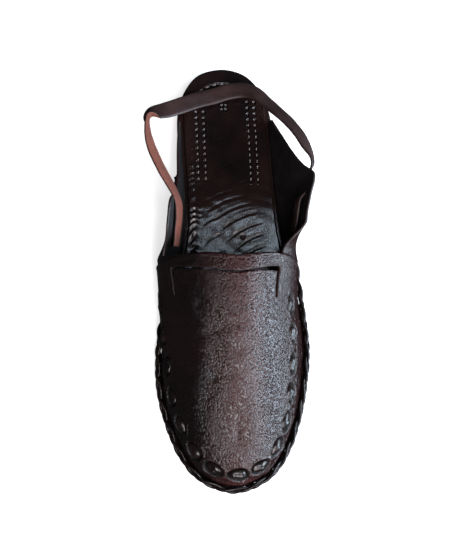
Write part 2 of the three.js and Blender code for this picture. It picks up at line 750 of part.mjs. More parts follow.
// Heel strap. It lies inside the medial quarter, crosses the insole's heel and is threaded through a slot
// of the lateral quarter. Its free points are chosen by hand, with y measured from the heel's back.
// Columns: place of the strap's middle line, direction across its width, and share of the strap's width.
const STRAP_TABLE = [
  { x: -36.0, y: -133.0, z: 29.5, acrossX: -0.25, acrossY: 0.0, acrossZ: 0.97, width: 0.95 },
  { x: -34.9, y: -124.0, z: 32.5, acrossX: -0.27, acrossY: 0.0, acrossZ: 0.96, width: 1.0 },
  { x: -33.9, y: -115.0, z: 36.0, acrossX: -0.30, acrossY: 0.0, acrossZ: 0.95, width: 1.0 },
  { x: -34.2, y: -106.5, z: 39.0, acrossX: -0.42, acrossY: 0.0, acrossZ: 0.91, width: 1.0 },
  { x: -37.8, y: -98.0, z: 41.0, acrossX: -0.55, acrossY: 0.0, acrossZ: 0.84, width: 1.0 },
  { x: -42.5, y: -89.0, z: 41.8, acrossX: -0.62, acrossY: 0.0, acrossZ: 0.78, width: 1.0 },
  { x: -46.5, y: -80.0, z: 41.0, acrossX: -0.62, acrossY: 0.0, acrossZ: 0.78, width: 1.0 },
  { x: -49.8, y: -70.5, z: 39.5, acrossX: -0.58, acrossY: 0.0, acrossZ: 0.81, width: 1.0 },
  { x: -51.7, y: -61.0, z: 37.0, acrossX: -0.45, acrossY: 0.0, acrossZ: 0.89, width: 1.0 },
  { x: -52.4, y: -52.0, z: 34.0, acrossX: -0.25, acrossY: -0.05, acrossZ: 0.97, width: 1.0 },
  { x: -51.5, y: -44.0, z: 30.8, acrossX: -0.08, acrossY: -0.62, acrossZ: 0.78, width: 1.0 },
  { x: -46.8, y: -39.2, z: 27.8, acrossX: -0.08, acrossY: -0.92, acrossZ: 0.38, width: 1.0 },
  { x: -40.0, y: -36.6, z: 26.0, acrossX: 0.0, acrossY: -0.97, acrossZ: 0.22, width: 1.0 },
  { x: -30.0, y: -31.8, z: 23.0, acrossX: 0.0, acrossY: -0.98, acrossZ: 0.16, width: 1.0 },
  { x: -20.0, y: -27.0, z: 20.6, acrossX: 0.0, acrossY: -0.99, acrossZ: 0.10, width: 1.0 },
  { x: -6.5, y: -22.6, z: 19.0, acrossX: 0.02, acrossY: -0.99, acrossZ: 0.08, width: 1.0 },
  { x: 3.0, y: -19.6, z: 19.0, acrossX: 0.04, acrossY: -0.99, acrossZ: 0.08, width: 1.0 },
  { x: 12.5, y: -18.8, z: 20.0, acrossX: 0.0, acrossY: -0.99, acrossZ: 0.12, width: 1.0 },
  { x: 20.5, y: -21.8, z: 21.8, acrossX: -0.25, acrossY: -0.92, acrossZ: 0.30, width: 0.95 },
  { x: 27.5, y: -29.5, z: 24.5, acrossX: -0.62, acrossY: -0.67, acrossZ: 0.42, width: 0.9 },
  { x: 33.5, y: -37.5, z: 28.0, acrossX: -0.78, acrossY: -0.45, acrossZ: 0.42, width: 0.9 },
  { x: 40.0, y: -46.5, z: 32.0, acrossX: -0.85, acrossY: -0.32, acrossZ: 0.42, width: 0.85 },
  { x: 46.5, y: -58.5, z: 36.5, acrossX: -0.86, acrossY: -0.20, acrossZ: 0.48, width: 0.85 },
  { x: 50.4, y: -70.0, z: 40.0, acrossX: -0.78, acrossY: -0.10, acrossZ: 0.62, width: 0.85 },
  { x: 53.0, y: -81.0, z: 42.5, acrossX: -0.35, acrossY: 0.0, acrossZ: 0.94, width: 0.8 },
];
const STRAP_THREADING = [
  { distance: 93, height: 0.76, outside: 1 },
  { distance: 100, height: 0.75, outside: 1 },
  { distance: 108, height: 0.72, outside: -1 },
  { distance: 117, height: 0.68, outside: -1 },
  { distance: 127, height: 0.62, outside: -1 },
];
const TONGUE_SHARE = 0.6;

function strapThreading({ distance, height, outside }) {
  const share = shareAt('lateral', distance);
  const normal = surfaceNormal('lateral', share, height);
  const clear = GAP * 2 + STRAP_THICKNESS / 2;
  const depth = outside > 0 ? clear : -(WALL + clear + GAP);
  const point = surfacePoint('lateral', share, height).addScaledVector(normal, depth);
  const below = surfacePoint('lateral', share, height - 0.05);
  const above = surfacePoint('lateral', share, height + 0.05);
  return { point, across: above.sub(below).normalize(), width: TONGUE_SHARE };
}

function makeStrap(clearance) {
  const keys = [
    ...STRAP_TABLE.map((row) => ({
      point: new THREE.Vector3(row.x, row.y, row.z),
      across: new THREE.Vector3(row.acrossX, row.acrossY, row.acrossZ),
      width: row.width,
    })),
    ...STRAP_THREADING.map(strapThreading),
  ];
  const curve = new THREE.CatmullRomCurve3(keys.map((key) => key.point), false, 'centripetal');
  const steps = 3;
  const rows = [];
  for (let i = 0; i <= (keys.length - 1) * steps; i += 1) {
    const key = Math.min(Math.floor(i / steps), keys.length - 2);
    const t = i / steps - key;
    rows.push({
      point: curve.getPoint(i / steps / (keys.length - 1)),
      across: keys[key].across.clone().lerp(keys[key + 1].across, t),
      width: STRAP_WIDTH * THREE.MathUtils.lerp(keys[key].width, keys[key + 1].width, t) + clearance * 2,
      thickness: STRAP_THICKNESS + clearance * 2,
    });
  }
  return ribbon(rows);
}

function makeUpper() {
  let upper = thicken(upperSheet(), WALL);
  upper = upper.subtract(makeSlit());
  upper = upper.subtract(makeStrap(GAP));
  ovals(GAP).forEach((hole) => {
    upper = upper.subtract(hole);
  });
  return upper;
}

function toMesh(name, manifold, look) {
  const { vertProperties, triVerts } = manifold.getMesh();
  const geometry = new THREE.BufferGeometry();
  geometry.setAttribute('position', new THREE.BufferAttribute(new Float32Array(vertProperties), 3));
  geometry.setIndex(new THREE.BufferAttribute(new Uint32Array(triVerts), 1));
  geometry.computeVertexNormals();
  const mesh = new THREE.Mesh(geometry, new THREE.MeshStandardMaterial(look));
  mesh.name = name;
  return mesh;
}

const LOOKS = {
  outsole: { color: 0x2a1a18, roughness: 0.5, metalness: 0 },
  heel: { color: 0x3a2020, roughness: 0.45, metalness: 0 },
  insole: { color: 0x2b1d1b, roughness: 0.35, metalness: 0 },
  upper: { color: 0x33201f, roughness: 0.4, metalness: 0 },
  thong: { color: 0x1c1414, roughness: 0.35, metalness: 0 },
  strap: { color: 0x483434, roughness: 0.6, metalness: 0 },
};

const sandal = new THREE.Group();
sandal.add(toMesh('outsole', makeOutsole(), LOOKS.outsole));
for (let i = 0; i < HEEL_LIFT_COUNT; i += 1) {
  sandal.add(toMesh(`heel_lift_${i + 1}`, makeHeelLift(i), LOOKS.heel));
}
sandal.add(toMesh('insole', makeInsole(), LOOKS.insole));
sandal.add(toMesh('upper', makeUpper(), LOOKS.upper));
sandal.add(toMesh('vamp_thong', makeThong(), LOOKS.thong));
sandal.add(toMesh('rim_braid', makeBraid(), LOOKS.thong));
sandal.add(toMesh('heel_strap', makeStrap(0), LOOKS.strap));

// The origin is under the middle of the whole shoe's box.
const box = new THREE.Box3().setFromObject(sandal);
sandal.position.set(-(box.min.x + box.max.x) / 2, -(box.min.y + box.max.y) / 2, -box.min.z);

export default sandal;
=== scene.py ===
import math
import bmesh
import bpy
import numpy as np
from mathutils import Matrix, Vector


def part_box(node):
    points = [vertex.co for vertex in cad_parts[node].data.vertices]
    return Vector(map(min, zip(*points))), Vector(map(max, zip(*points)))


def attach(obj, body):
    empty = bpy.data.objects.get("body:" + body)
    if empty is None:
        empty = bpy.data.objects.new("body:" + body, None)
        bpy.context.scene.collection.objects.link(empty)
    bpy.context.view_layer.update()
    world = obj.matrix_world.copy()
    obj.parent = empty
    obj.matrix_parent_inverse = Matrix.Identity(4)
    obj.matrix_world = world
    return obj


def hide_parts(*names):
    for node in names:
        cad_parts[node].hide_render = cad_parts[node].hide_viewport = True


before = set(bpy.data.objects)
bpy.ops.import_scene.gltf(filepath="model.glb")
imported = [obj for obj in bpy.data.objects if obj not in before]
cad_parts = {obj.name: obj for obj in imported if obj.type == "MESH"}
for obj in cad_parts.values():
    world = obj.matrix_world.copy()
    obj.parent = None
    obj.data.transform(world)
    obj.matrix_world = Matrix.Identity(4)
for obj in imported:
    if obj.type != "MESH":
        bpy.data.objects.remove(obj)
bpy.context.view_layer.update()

MM = 0.001
UP = np.array([0.0, 0.0, 1.0])

# Sizes of the shoe in millimetres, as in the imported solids. Places are shares of the sole's length.
SOLE_LENGTH = 283.0
BALL_WIDTH = 94.5
HEEL_WIDTH = 65.0
TOE_SKEW = 3.0
OUTSOLE_THICKNESS = 4.5
INSOLE_THICKNESS = 2.6
LIFT_THICKNESS = 3.85
LIFT_COUNT = 2
LIFT_INSET = 2.6
LIFT_SETBACK = 1.0
HEEL_LENGTH = 90.0
HEEL_FRONT_SLANT = 6.0
WAIST_LEAD = 2.0
TOE_SPRING = 6.0
FLAT_START = 152.0
FLAT_END = 226.0
WALL = 2.0
INSTEP_HEIGHT = 53.0
QUARTER_HEIGHT = 41.0
BAND_START = 143.0
BAND_WIDTH = 11.0
BAND_DIP = 5.0
BAND_BLEND = 18.0
TOE_START = 225.0
QUARTER_START = 40.0
SLIT_WIDTH = 1.2
SLIT_GAPE = 3.0
SLIT_LEG = 17.0
STRAP_WIDTH = 12.0
STRAP_THICKNESS = 1.8
OVAL_LENGTH = 12.5
OVAL_WIDTH = 8.0
OVAL_PITCH = 19.0
OVAL_COUNT = 15
OVAL_HEIGHT = 15.0
RAIL_REACH = OVAL_PITCH * (OVAL_COUNT - 1) / 2
OVAL_CLIMB = {"medial": 4.0, "lateral": 13.0}
OVAL_TILT = {"medial": 0.12, "lateral": 0.35}
OVAL_LEAN = (-0.16, 0.22)
RAIL_LIMIT = 0.8
EDGE_BELOW_OVALS = 6.8
LAP_STEP = 1.0
BRAID_HEIGHT = 8.0
BRAID_START = 79.0
GAP = 0.3
RIM_INSET = 0.4
SLOPE_ROOM = 1.7
EDGE_CHAMFER = 0.8
INSOLE_TAPER_START = 22.0
INSOLE_TAPER_LEAD = 4.0
BRAID_FOOT = 0.3
PEG_INSET = 8.5
PEG_PITCH = 11.5
PEG_LEAD = 8.0
OUTLINE_POINTS = 720
FINE_OUTLINE_POINTS = 8001


def as_table(columns, rows):
    """Rows of a table as dictionaries under the names of its columns."""
    return [dict(zip(columns.split(), row)) for row in rows]


SOLE_TABLE = as_table("place lateral medial heel_part", [
    (0.014, 0.225, 0.255, 1),
    (0.05, 0.375, 0.395, 1),
    (0.11, 0.478, 0.482, 1),
    (0.20, 0.505, 0.492, 1),
    (0.30, 0.520, 0.476, 1),
    (0.40, 0.487, 0.424, 0.7),
    (0.50, 0.495, 0.430, 0.4),
    (0.60, 0.503, 0.455, 0.15),
    (0.70, 0.498, 0.490, 0),
    (0.78, 0.463, 0.490, 0),
    (0.86, 0.398, 0.436, 0),
    (0.93, 0.300, 0.350, 0),
    (0.975, 0.180, 0.235, 0),
])
RIDGE_TABLE = as_table("place height", [
    (0.50, 1),
    (0.565, 0.995),
    (0.65, 0.93),
    (0.74, 0.80),
    (0.83, 0.65),
    (0.92, 0.47),
])
VAMP_TABLE = {
    "lateral": as_table("place out1 up1 in2 up2", [
        (0.505, 0.120, 0.42, 0.22, 1.02),
        (0.60, -0.030, 0.33, 0.38, 1.02),
        (0.707, -0.045, 0.30, 0.42, 1),
        (0.795, -0.025, 0.34, 0.42, 1),
        (1, 0.012, 0.55, 0.32, 0.98),
    ]),
    "medial": as_table("place out1 up1 in2 up2", [
        (0.505, 0.360, 0.36, 0.06, 1.02),
        (0.60, 0.200, 0.38, 0.20, 1.02),
        (0.707, 0.040, 0.40, 0.34, 1),
        (0.795, 0.025, 0.42, 0.38, 1),
        (1, 0.012, 0.55, 0.32, 0.98),
    ]),
}
QUARTER_TABLE = {
    "lateral": as_table("place out up", [
        (0.141, 0.010, 0.12),
        (0.195, 0.050, 0.36),
        (0.248, 0.092, 0.58),
        (0.300, 0.140, 0.82),
        (0.336, 0.196, 1),
        (0.392, 0.150, 0.98),
        (0.442, 0.098, 0.99),
        (0.505, 0.060, 1),
    ]),
    "medial": as_table("place out up", [
        (0.141, 0.010, 0.11),
        (0.230, 0.030, 0.20),
        (0.300, 0.046, 0.34),
        (0.345, 0.068, 0.56),
        (0.388, 0.108, 0.97),
        (0.442, 0.112, 1),
        (0.505, 0.095, 1),
    ]),
}
QUARTER_SPLIT = {"lateral": 0.62, "medial": 0.44}
SLIT_PLACE = {"lateral": 0.66, "medial": 0.54}

STRAP_TABLE = as_table("x y z across width", [
    (-36, -133, 29.5, (-0.25, 0, 0.97), 0.95),
    (-34.9, -124, 32.5, (-0.27, 0, 0.96), 1),
    (-33.9, -115, 36, (-0.30, 0, 0.95), 1),
    (-34.2, -106.5, 39, (-0.42, 0, 0.91), 1),
    (-37.8, -98, 41, (-0.55, 0, 0.84), 1),
    (-42.5, -89, 41.8, (-0.62, 0, 0.78), 1),
    (-46.5, -80, 41, (-0.62, 0, 0.78), 1),
    (-49.8, -70.5, 39.5, (-0.58, 0, 0.81), 1),
    (-51.7, -61, 37, (-0.45, 0, 0.89), 1),
    (-52.4, -52, 34, (-0.25, -0.05, 0.97), 1),
    (-51.5, -44, 30.8, (-0.08, -0.62, 0.78), 1),
    (-46.8, -39.2, 27.8, (-0.08, -0.92, 0.38), 1),
    (-40, -36.6, 26, (0, -0.97, 0.22), 1),
    (-30, -31.8, 23, (0, -0.98, 0.16), 1),
    (-20, -27, 20.6, (0, -0.99, 0.10), 1),
    (-6.5, -22.6, 19, (0.02, -0.99, 0.08), 1),
    (3, -19.6, 19, (0.04, -0.99, 0.08), 1),
    (12.5, -18.8, 20, (0, -0.99, 0.12), 1),
    (20.5, -21.8, 21.8, (-0.25, -0.92, 0.30), 0.95),
    (27.5, -29.5, 24.5, (-0.62, -0.67, 0.42), 0.9),
    (33.5, -37.5, 28, (-0.78, -0.45, 0.42), 0.9),
    (40, -46.5, 32, (-0.85, -0.32, 0.42), 0.85),
    (46.5, -58.5, 36.5, (-0.86, -0.20, 0.48), 0.85),
    (50.4, -70, 40, (-0.78, -0.10, 0.62), 0.85),
    (53, -81, 42.5, (-0.35, 0, 0.94), 0.8),
])
STRAP_THREADING = as_table("distance height outside", [
    (93, 0.76, 1),
    (100, 0.75, 1),
    (108, 0.72, -1),
    (117, 0.68, -1),
    (127, 0.62, -1),
])
TONGUE_SHARE = 0.6


# Number helpers
def smoothstep(x, low, high):
    t = np.clip((np.asarray(x, float) - low) / (high - low), 0.0, 1.0)
    return t * t * (3.0 - 2.0 * t)


def lerp(a, b, t):
    return a + (b - a) * t


def unit(v):
    return v / np.maximum(np.linalg.norm(v, axis=-1, keepdims=True), 1e-9)


def look_up(table, column, place):
    places = np.array([row["place"] for row in table])
    values = np.array([row[column] for row in table])
    last = len(table) - 1
    place = np.asarray(place, float)
    i = np.clip(np.searchsorted(places, place, side="left") - 1, 0, last - 1)
    before = np.maximum(i - 1, 0)
    after = np.minimum(i + 2, last)
    span = places[i + 1] - places[i]
    t = np.clip((place - places[i]) / span, 0.0, 1.0)
    slope_a = (values[i + 1] - values[before]) / (places[i + 1] - places[before]) * span
    slope_b = (values[after] - values[i]) / (places[after] - places[i]) * span
    t2 = t * t
    t3 = t2 * t
    return ((2 * t3 - 3 * t2 + 1) * values[i] + (t3 - 2 * t2 + t) * slope_a
            + (3 * t2 - 2 * t3) * values[i + 1] + (t3 - t2) * slope_b)


def centripetal(points, t, closed):
    """Points of a centripetal curve at t, from 0 to 1 over all its spans."""
    points = np.asarray(points, float)
    count = len(points)
    spans = count if closed else count - 1
    at = np.clip(np.asarray(t, float), 0.0, 1.0) * spans
    i = np.minimum(np.floor(at).astype(int), spans - 1)
    w = (at - i)[:, None]
    if closed:
        p0, p1, p2, p3 = (points[(i + k) % count] for k in (-1, 0, 1, 2))
    else:
        padded = np.vstack([2 * points[0] - points[1], points, 2 * points[-1] - points[-2]])
        p0, p1, p2, p3 = (padded[i + k] for k in (0, 1, 2, 3))
    d0, d1, d2 = (np.maximum(np.linalg.norm(b - a, axis=1, keepdims=True), 1e-6) ** 0.5
                  for a, b in ((p0, p1), (p1, p2), (p2, p3)))
    m1 = ((p1 - p0) / d0 - (p2 - p0) / (d0 + d1) + (p2 - p1) / d1) * d1
    m2 = ((p2 - p1) / d1 - (p3 - p1) / (d1 + d2) + (p3 - p2) / d2) * d1
    c2 = -3 * p1 + 3 * p2 - 2 * m1 - m2
    c3 = 2 * p1 - 2 * p2 + m1 + m2
    return p1 + m1 * w + c2 * w * w + c3 * w ** 3


# Sole outline
def make_chains():
    def side(name, sign):
        return [(sign * row[name] * lerp(BALL_WIDTH, HEEL_WIDTH, row["heel_part"]),
                 -row["place"] * SOLE_LENGTH) for row in SOLE_TABLE]

    knots = [(0.0, 0.0)] + side("lateral", 1) + [(-TOE_SKEW, -SOLE_LENGTH)] + side("medial", -1)[::-1]
    fine = centripetal(knots, np.linspace(0, 1, FINE_OUTLINE_POINTS), True)
    length = np.concatenate([[0], np.cumsum(np.linalg.norm(np.diff(fine, axis=0), axis=1))])
    marks = np.linspace(0, length[-1], OUTLINE_POINTS, endpoint=False)
    loop = np.stack([np.interp(marks, length, fine[:, k]) for k in (0, 1)], axis=1)
    toe = np.array([-TOE_SKEW, -SOLE_LENGTH])
    tip = int(np.argmin(np.linalg.norm(loop - toe, axis=1)))
    loop[tip] = toe
    along = unit(np.roll(loop, -2, axis=0) - np.roll(loop, 2, axis=0))
    out = np.stack([-along[:, 1], along[:, 0]], axis=1)
    order = {"lateral": np.arange(tip + 1),
             "medial": np.concatenate([[0], np.arange(len(loop) - 1, tip - 1, -1)])}
    return {name: (loop[index], out[index]) for name, index in order.items()}


CHAINS = make_chains()
SIDES = ("medial", "lateral")
CHAIN_LENGTH = {s: float(np.linalg.norm(np.diff(CHAINS[s][0], axis=0), axis=1).sum()) for s in SIDES}


def outline(side, share, inset):
    points, outs = CHAINS[side]
    index = np.arange(len(points))
    at = np.clip(share, 0.0, 1.0) * (len(points) - 1)
    p = np.stack([np.interp(at, index, points[:, k]) for k in (0, 1)], axis=-1)
    out = unit(np.stack([np.interp(at, index, outs[:, k]) for k in (0, 1)], axis=-1))
    return p - out * np.asarray(inset)[..., None], out


def share_at(side, distance):
    points = CHAINS[side][0]
    return np.interp(distance, -points[:, 1], np.linspace(0, 1, len(points)))


HEEL_STACK = LIFT_COUNT * (LIFT_THICKNESS + GAP)


def underside(distance):
    distance = np.asarray(distance, float)
    front = HEEL_LENGTH + WAIST_LEAD
    waist = HEEL_STACK * (1 - smoothstep(distance, front, FLAT_START))
    toe = TOE_SPRING * np.clip((distance - FLAT_END) / (SOLE_LENGTH - FLAT_END), 0, None) ** 2
    return waist + toe


def rim_height(distance):
    return underside(distance) + OUTSOLE_THICKNESS + GAP


# Upper surface
def ridge_at(distance):
    place = distance / SOLE_LENGTH
    x = -TOE_SKEW * smoothstep(place, 0.7, 1.0)
    z = rim_height(FLAT_START) + INSTEP_HEIGHT * look_up(RIDGE_TABLE, "height", place)
    return np.stack([x, -distance, z], axis=-1)


def ridge_point(side, share):
    start = share_at(side, TOE_START)
    distance = -outline(side, share, 0.0)[0][..., 1]
    lead = np.clip((TOE_START - distance) / (TOE_START - BAND_START), 0, 1)
    t = np.clip((share - start) / (1 - start), 0, 1)
    toe = TOE_START + (SOLE_LENGTH - TOE_START) * (t - t * t / 2)
    return ridge_at(np.where(share <= start, distance + BAND_DIP * lead, toe))


def bezier(p0, p1, p2, p3, t):
    t = t[..., None]
    s = 1 - t
    return p0 * s ** 3 + p1 * 3 * s * s * t + p2 * 3 * s * t * t + p3 * t ** 3


def rim_point(side, share):
    p, out = outline(side, share, RIM_INSET)
    rim = np.concatenate([p, rim_height(-p[..., 1])[..., None]], axis=-1)
    return rim, np.concatenate([out, np.zeros_like(out[..., :1])], axis=-1)


def vamp_point(side, share, height):
    rim, out = rim_point(side, share)
    ridge = ridge_point(side, share)
    place = np.clip(-rim[..., 1] / SOLE_LENGTH, 0, 1)
    column = {c: look_up(VAMP_TABLE[side], c, place)[..., None] for c in ("out1", "up1", "in2", "up2")}
    rise = ridge[..., 2:] - rim[..., 2:]
    low = rim + out * column["out1"] * BALL_WIDTH
    low[..., 2:] = rim[..., 2:] + rise * column["up1"]
    high = lerp(rim, ridge, column["in2"])
    high[..., 2:] = rim[..., 2:] + rise * column["up2"]
    return bezier(rim, low, high, ridge, height)


def quarter_point(side, share, height):
    rim, out = rim_point(side, share)
    distance = -rim[..., 1]
    place = distance / SOLE_LENGTH
    reach = (look_up(QUARTER_TABLE[side], "out", place) * BALL_WIDTH)[..., None]
    rise = (look_up(QUARTER_TABLE[side], "up", place) * QUARTER_HEIGHT)[..., None]
    controls = [rim + out * reach * a + UP * rise * b for a, b in ((0.36, 0.3), (0.72, 0.66), (1.0, 1.0))]
    free = bezier(rim, *controls, height)
    joined = smoothstep(distance, BAND_START - BAND_BLEND, BAND_START)[..., None]
    return lerp(free, vamp_point(side, share, height * QUARTER_SPLIT[side]), joined)


def surface_point(side, share, height):
    share, height = np.broadcast_arrays(np.asarray(share, float), np.asarray(height, float))
    quarter = share < share_at(side, BAND_START)
    return np.where(quarter[..., None], quarter_point(side, share, height), vamp_point(side, share, height))


def surface_normal(side, share, height):
    step = 0.004
    along = (surface_point(side, np.minimum(share + step, 1), height)
             - surface_point(side, share - step, height))
    up = (surface_point(side, share, np.minimum(height + step, 1))
          - surface_point(side, share, np.maximum(height - step, 0)))
    normal = unit(np.cross(along, up))
    return normal if side == "medial" else -normal


def side_of(offset):
    """Side of a length along the rim from the toe, which is negative on the medial side."""
    return "medial" if offset < 0 else "lateral"


def oval_rise(offset):
    """Height of the thong above the rim, which climbs along each side from the toe."""
    return OVAL_HEIGHT + OVAL_CLIMB[side_of(offset)] * (offset / RAIL_REACH) ** 2


def rail_place(offset, rise):
    """Place on the upper at a length along the rim from the toe, and a rise above the rim."""
    side = side_of(offset)
    share = 1 - abs(offset) / CHAIN_LENGTH[side]
    heights = np.linspace(0, RAIL_LIMIT, 321)
    points = surface_point(side, np.full_like(heights, share), heights)
    rim = rim_point(side, share)[0]
    height = float(np.interp(rise, points[:, 2] - rim[2], heights))
    point = surface_point(side, share, height)
    normal = surface_normal(side, min(share, 0.992), height)
    return dict(side=side, share=share, height=height, point=point, normal=normal)


# Offset from the heel's back to the frame's origin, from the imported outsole's box
OUTSOLE_LOW, OUTSOLE_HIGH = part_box("outsole")
SHIFT = np.array([
    OUTSOLE_LOW[0] / MM - CHAINS["medial"][0][:, 0].min(),
    OUTSOLE_HIGH[1] / MM - CHAINS["medial"][0][:, 1].max(),
    0.0,
])


# Mesh helpers
def make_object(name, points, faces, materials, face_materials=None):
    mesh = bpy.data.meshes.new(name)
    verts = (np.asarray(points, float) + SHIFT) * MM
    mesh.from_pydata(verts.tolist(), [], faces)
    for material in materials:
        mesh.materials.append(material)
    if face_materials is not None:
        mesh.polygons.foreach_set("material_index", np.asarray(face_materials, np.int32))
    mesh.polygons.foreach_set("use_smooth", np.ones(len(mesh.polygons), bool))
    mesh.update()
    obj = bpy.data.objects.new(name, mesh)
    bpy.context.scene.collection.objects.link(obj)
    return obj


def loop_faces(rows, columns, base=0, caps=True):
    """Quads over rows of points that each close on themselves, and a face at both ends."""
    faces = []
    for a in range(base, base + (rows - 1) * columns, columns):
        for j in range(columns):
            k = (j + 1) % columns
            faces.append((a + j, a + k, a + columns + k, a + columns + j))
    if caps:
        faces.append(tuple(range(base, base + columns))[::-1])
        faces.append(tuple(range(base + (rows - 1) * columns, base + rows * columns)))
    return faces


def wave(p, seed, size):
    """Soft seeded unevenness from -1 to 1 over points in millimetres."""
    rng = np.random.default_rng(seed)
    total = np.zeros(p.shape[:-1])
    for _ in range(5):
        direction = rng.normal(size=3)
        direction /= np.linalg.norm(direction)
        total += np.sin(p @ direction * (2 * math.pi / (size * rng.uniform(0.6, 1.6))) + rng.uniform(0, 6.28))
    return total / 5


# Node materials
class Nodes:
    def __init__(self, name):
        self.material = bpy.data.materials.new(name)
        self.material.use_nodes = True
        self.tree = self.material.node_tree
        self.tree.nodes.clear()
        self.output = self.tree.nodes.new("ShaderNodeOutputMaterial")
        self.shader = self.tree.nodes.new("ShaderNodeBsdfPrincipled")
        self.tree.links.new(self.shader.outputs[0], self.output.inputs[0])
        self.place = self.tree.nodes.new("ShaderNodeTexCoord").outputs["Object"]

    def put(self, socket, value):
        if isinstance(value, bpy.types.NodeSocket):
            self.tree.links.new(value, socket)
        else:
            socket.default_value = value

    def node(self, kind, inputs, **settings):
        node = self.tree.nodes.new(kind)
        for key, value in settings.items():
            setattr(node, key, value)
        for key, value in inputs.items():
            self.put(node.inputs[key], value)
        return node

    def noise(self, scale, detail=4.0, rough=0.55):
        inputs = {"Vector": self.place, "Scale": scale, "Detail": detail, "Roughness": rough}
        return self.node("ShaderNodeTexNoise", inputs).outputs["Fac"]

    def ramp(self, value, low, high, to_low=0.0, to_high=1.0):
        inputs = {"Value": value, "From Min": low, "From Max": high, "To Min": to_low, "To Max": to_high}
        return self.node("ShaderNodeMapRange", inputs).outputs["Result"]

    def mix(self, factor, *colours):
        a, b = (c if isinstance(c, bpy.types.NodeSocket) else (*c, 1.0) for c in colours)
        return self.node("ShaderNodeMix", {"Factor": factor, 6: a, 7: b}, data_type="RGBA").outputs[2]

    def math(self, operation, a, b=0.0):
        return self.node("ShaderNodeMath", {0: a, 1: b}, operation=operation).outputs[0]

    def times(self, a, b):
        return self.math("MULTIPLY", a, b)

    def vector_math(self, operation, a, b):
        return self.node("ShaderNodeVectorMath", {0: a, 1: b}, operation=operation).outputs[0]

    def bump(self, height, strength, distance):
        inputs = {"Height": height, "Strength": strength, "Distance": distance}
        return self.node("ShaderNodeBump", inputs).outputs[0]

    def finish(self, **sockets):
        for name, value in sockets.items():
            self.put(self.shader.inputs[name.replace("_", " ")], value)
        return self.material


# Fine scratch of the vamp, in metres along and across its slanted direction
SCRATCH_START = 0.0495
SCRATCH_END = 0.0745
SCRATCH_OFFSET = -0.0466
SCRATCH_FADE = 0.003
SCRATCH_WAY = (0.41, -0.91)

# Grain sizes of the upper as repeats per metre, and its reddish band across the shoe in metres, partly the
# leather's own red and partly a painted highlight where the ridge catches the overhead light
PEBBLE_SCALE = 900.0
PEBBLE_WARP = 0.0009
FINE_SCALE = 2300.0
RED_SHEEN_MEDIAL = (-0.012, 0.012)
RED_SHEEN_LATERAL = (0.016, 0.036)


def scratch_mask(n, axis):
    """1 on the fine scratch and 0 beside it."""
    x, y = axis.outputs[0], axis.outputs[1]
    down, side = SCRATCH_WAY
    along = n.math("ADD", n.times(x, down), n.times(y, side))
    off = n.math("ADD", n.times(x, -side), n.times(y, down))
    line = n.ramp(n.math("ABSOLUTE", n.math("SUBTRACT", off, SCRATCH_OFFSET)), 0.0001, 0.0004, 1.0, 0.0)
    ends = n.times(n.ramp(along, SCRATCH_START, SCRATCH_START + SCRATCH_FADE),
                  n.ramp(along, SCRATCH_END - SCRATCH_FADE, SCRATCH_END, 1.0, 0.0))
    return n.times(line, ends)


def pebbled_leather():
    n = Nodes("upper_grain")
    warp = n.vector_math("MULTIPLY", n.noise(420.0, 2.0), (PEBBLE_WARP, PEBBLE_WARP, PEBBLE_WARP))
    inputs = {"Vector": n.vector_math("ADD", n.place, warp), "Scale": PEBBLE_SCALE}
    cells = n.node("ShaderNodeTexVoronoi", inputs, feature="F1").outputs["Distance"]
    pebbles = n.ramp(cells, 0.1, 0.75, 1.0, 0.0)
    grain = n.math("ADD", pebbles, n.times(n.noise(FINE_SCALE, 3.0), 0.4))
    shade = n.node("ShaderNodeAttribute", {}, attribute_name="hole_shade").outputs["Fac"]
    patches = n.ramp(n.noise(22.0, 3.0), 0.38, 0.68)
    axis = n.node("ShaderNodeSeparateXYZ", {0: n.place})
    across = n.math("ADD", axis.outputs[0], n.times(n.noise(12.0, 2.0), 0.03))
    # Reddish band along the ridge: partly the leather's own red, partly a painted highlight of the lit ridge
    red_and_sheen = n.times(n.ramp(across, *RED_SHEEN_MEDIAL), n.ramp(across, *RED_SHEEN_LATERAL, 1.0, 0.25))
    base = n.mix(patches, (0.006, 0.004, 0.004), (0.012, 0.006, 0.006))
    base = n.mix(n.times(red_and_sheen, 0.85), base, (0.052, 0.016, 0.015))
    base = n.mix(n.ramp(pebbles, 0.0, 0.5, 0.6, 0.0), base, (0.003, 0.002, 0.002))
    # Painted shade: near black inside and round the thong holes
    base = n.mix(shade, base, (0.001, 0.0008, 0.0008))
    rough = n.ramp(n.noise(60.0, 4.0), 0.3, 0.7, 0.17, 0.27)
    rough = n.math("ADD", rough, n.times(shade, 0.5))
    scratch = scratch_mask(n, axis)
    relief = n.times(grain, n.ramp(scratch, 0.0, 1.0, 1.0, 0.2))
    relief = n.math("SUBTRACT", relief, scratch)
    return n.finish(Base_Color=base, Roughness=rough, Normal=n.bump(relief, 0.85, 0.00034),
                    Specular_IOR_Level=0.5)


def smooth_leather(name, dark, light, patch_scale, rough, grain_scale, grain_depth, bite=0.6):
    n = Nodes(name)
    patches = n.ramp(n.noise(patch_scale, 4.0), 0.36, 0.66)
    base = n.mix(patches, dark, light)
    pores = n.noise(grain_scale, 3.0, 0.7)
    base = n.mix(n.ramp(pores, 0.3, 0.5, 0.5, 0.0), base, tuple(c * 0.4 for c in dark))
    gloss = n.ramp(n.noise(patch_scale * 3, 4.0), 0.3, 0.7, *rough)
    return n.finish(Base_Color=base, Roughness=gloss, Normal=n.bump(pores, bite, grain_depth))


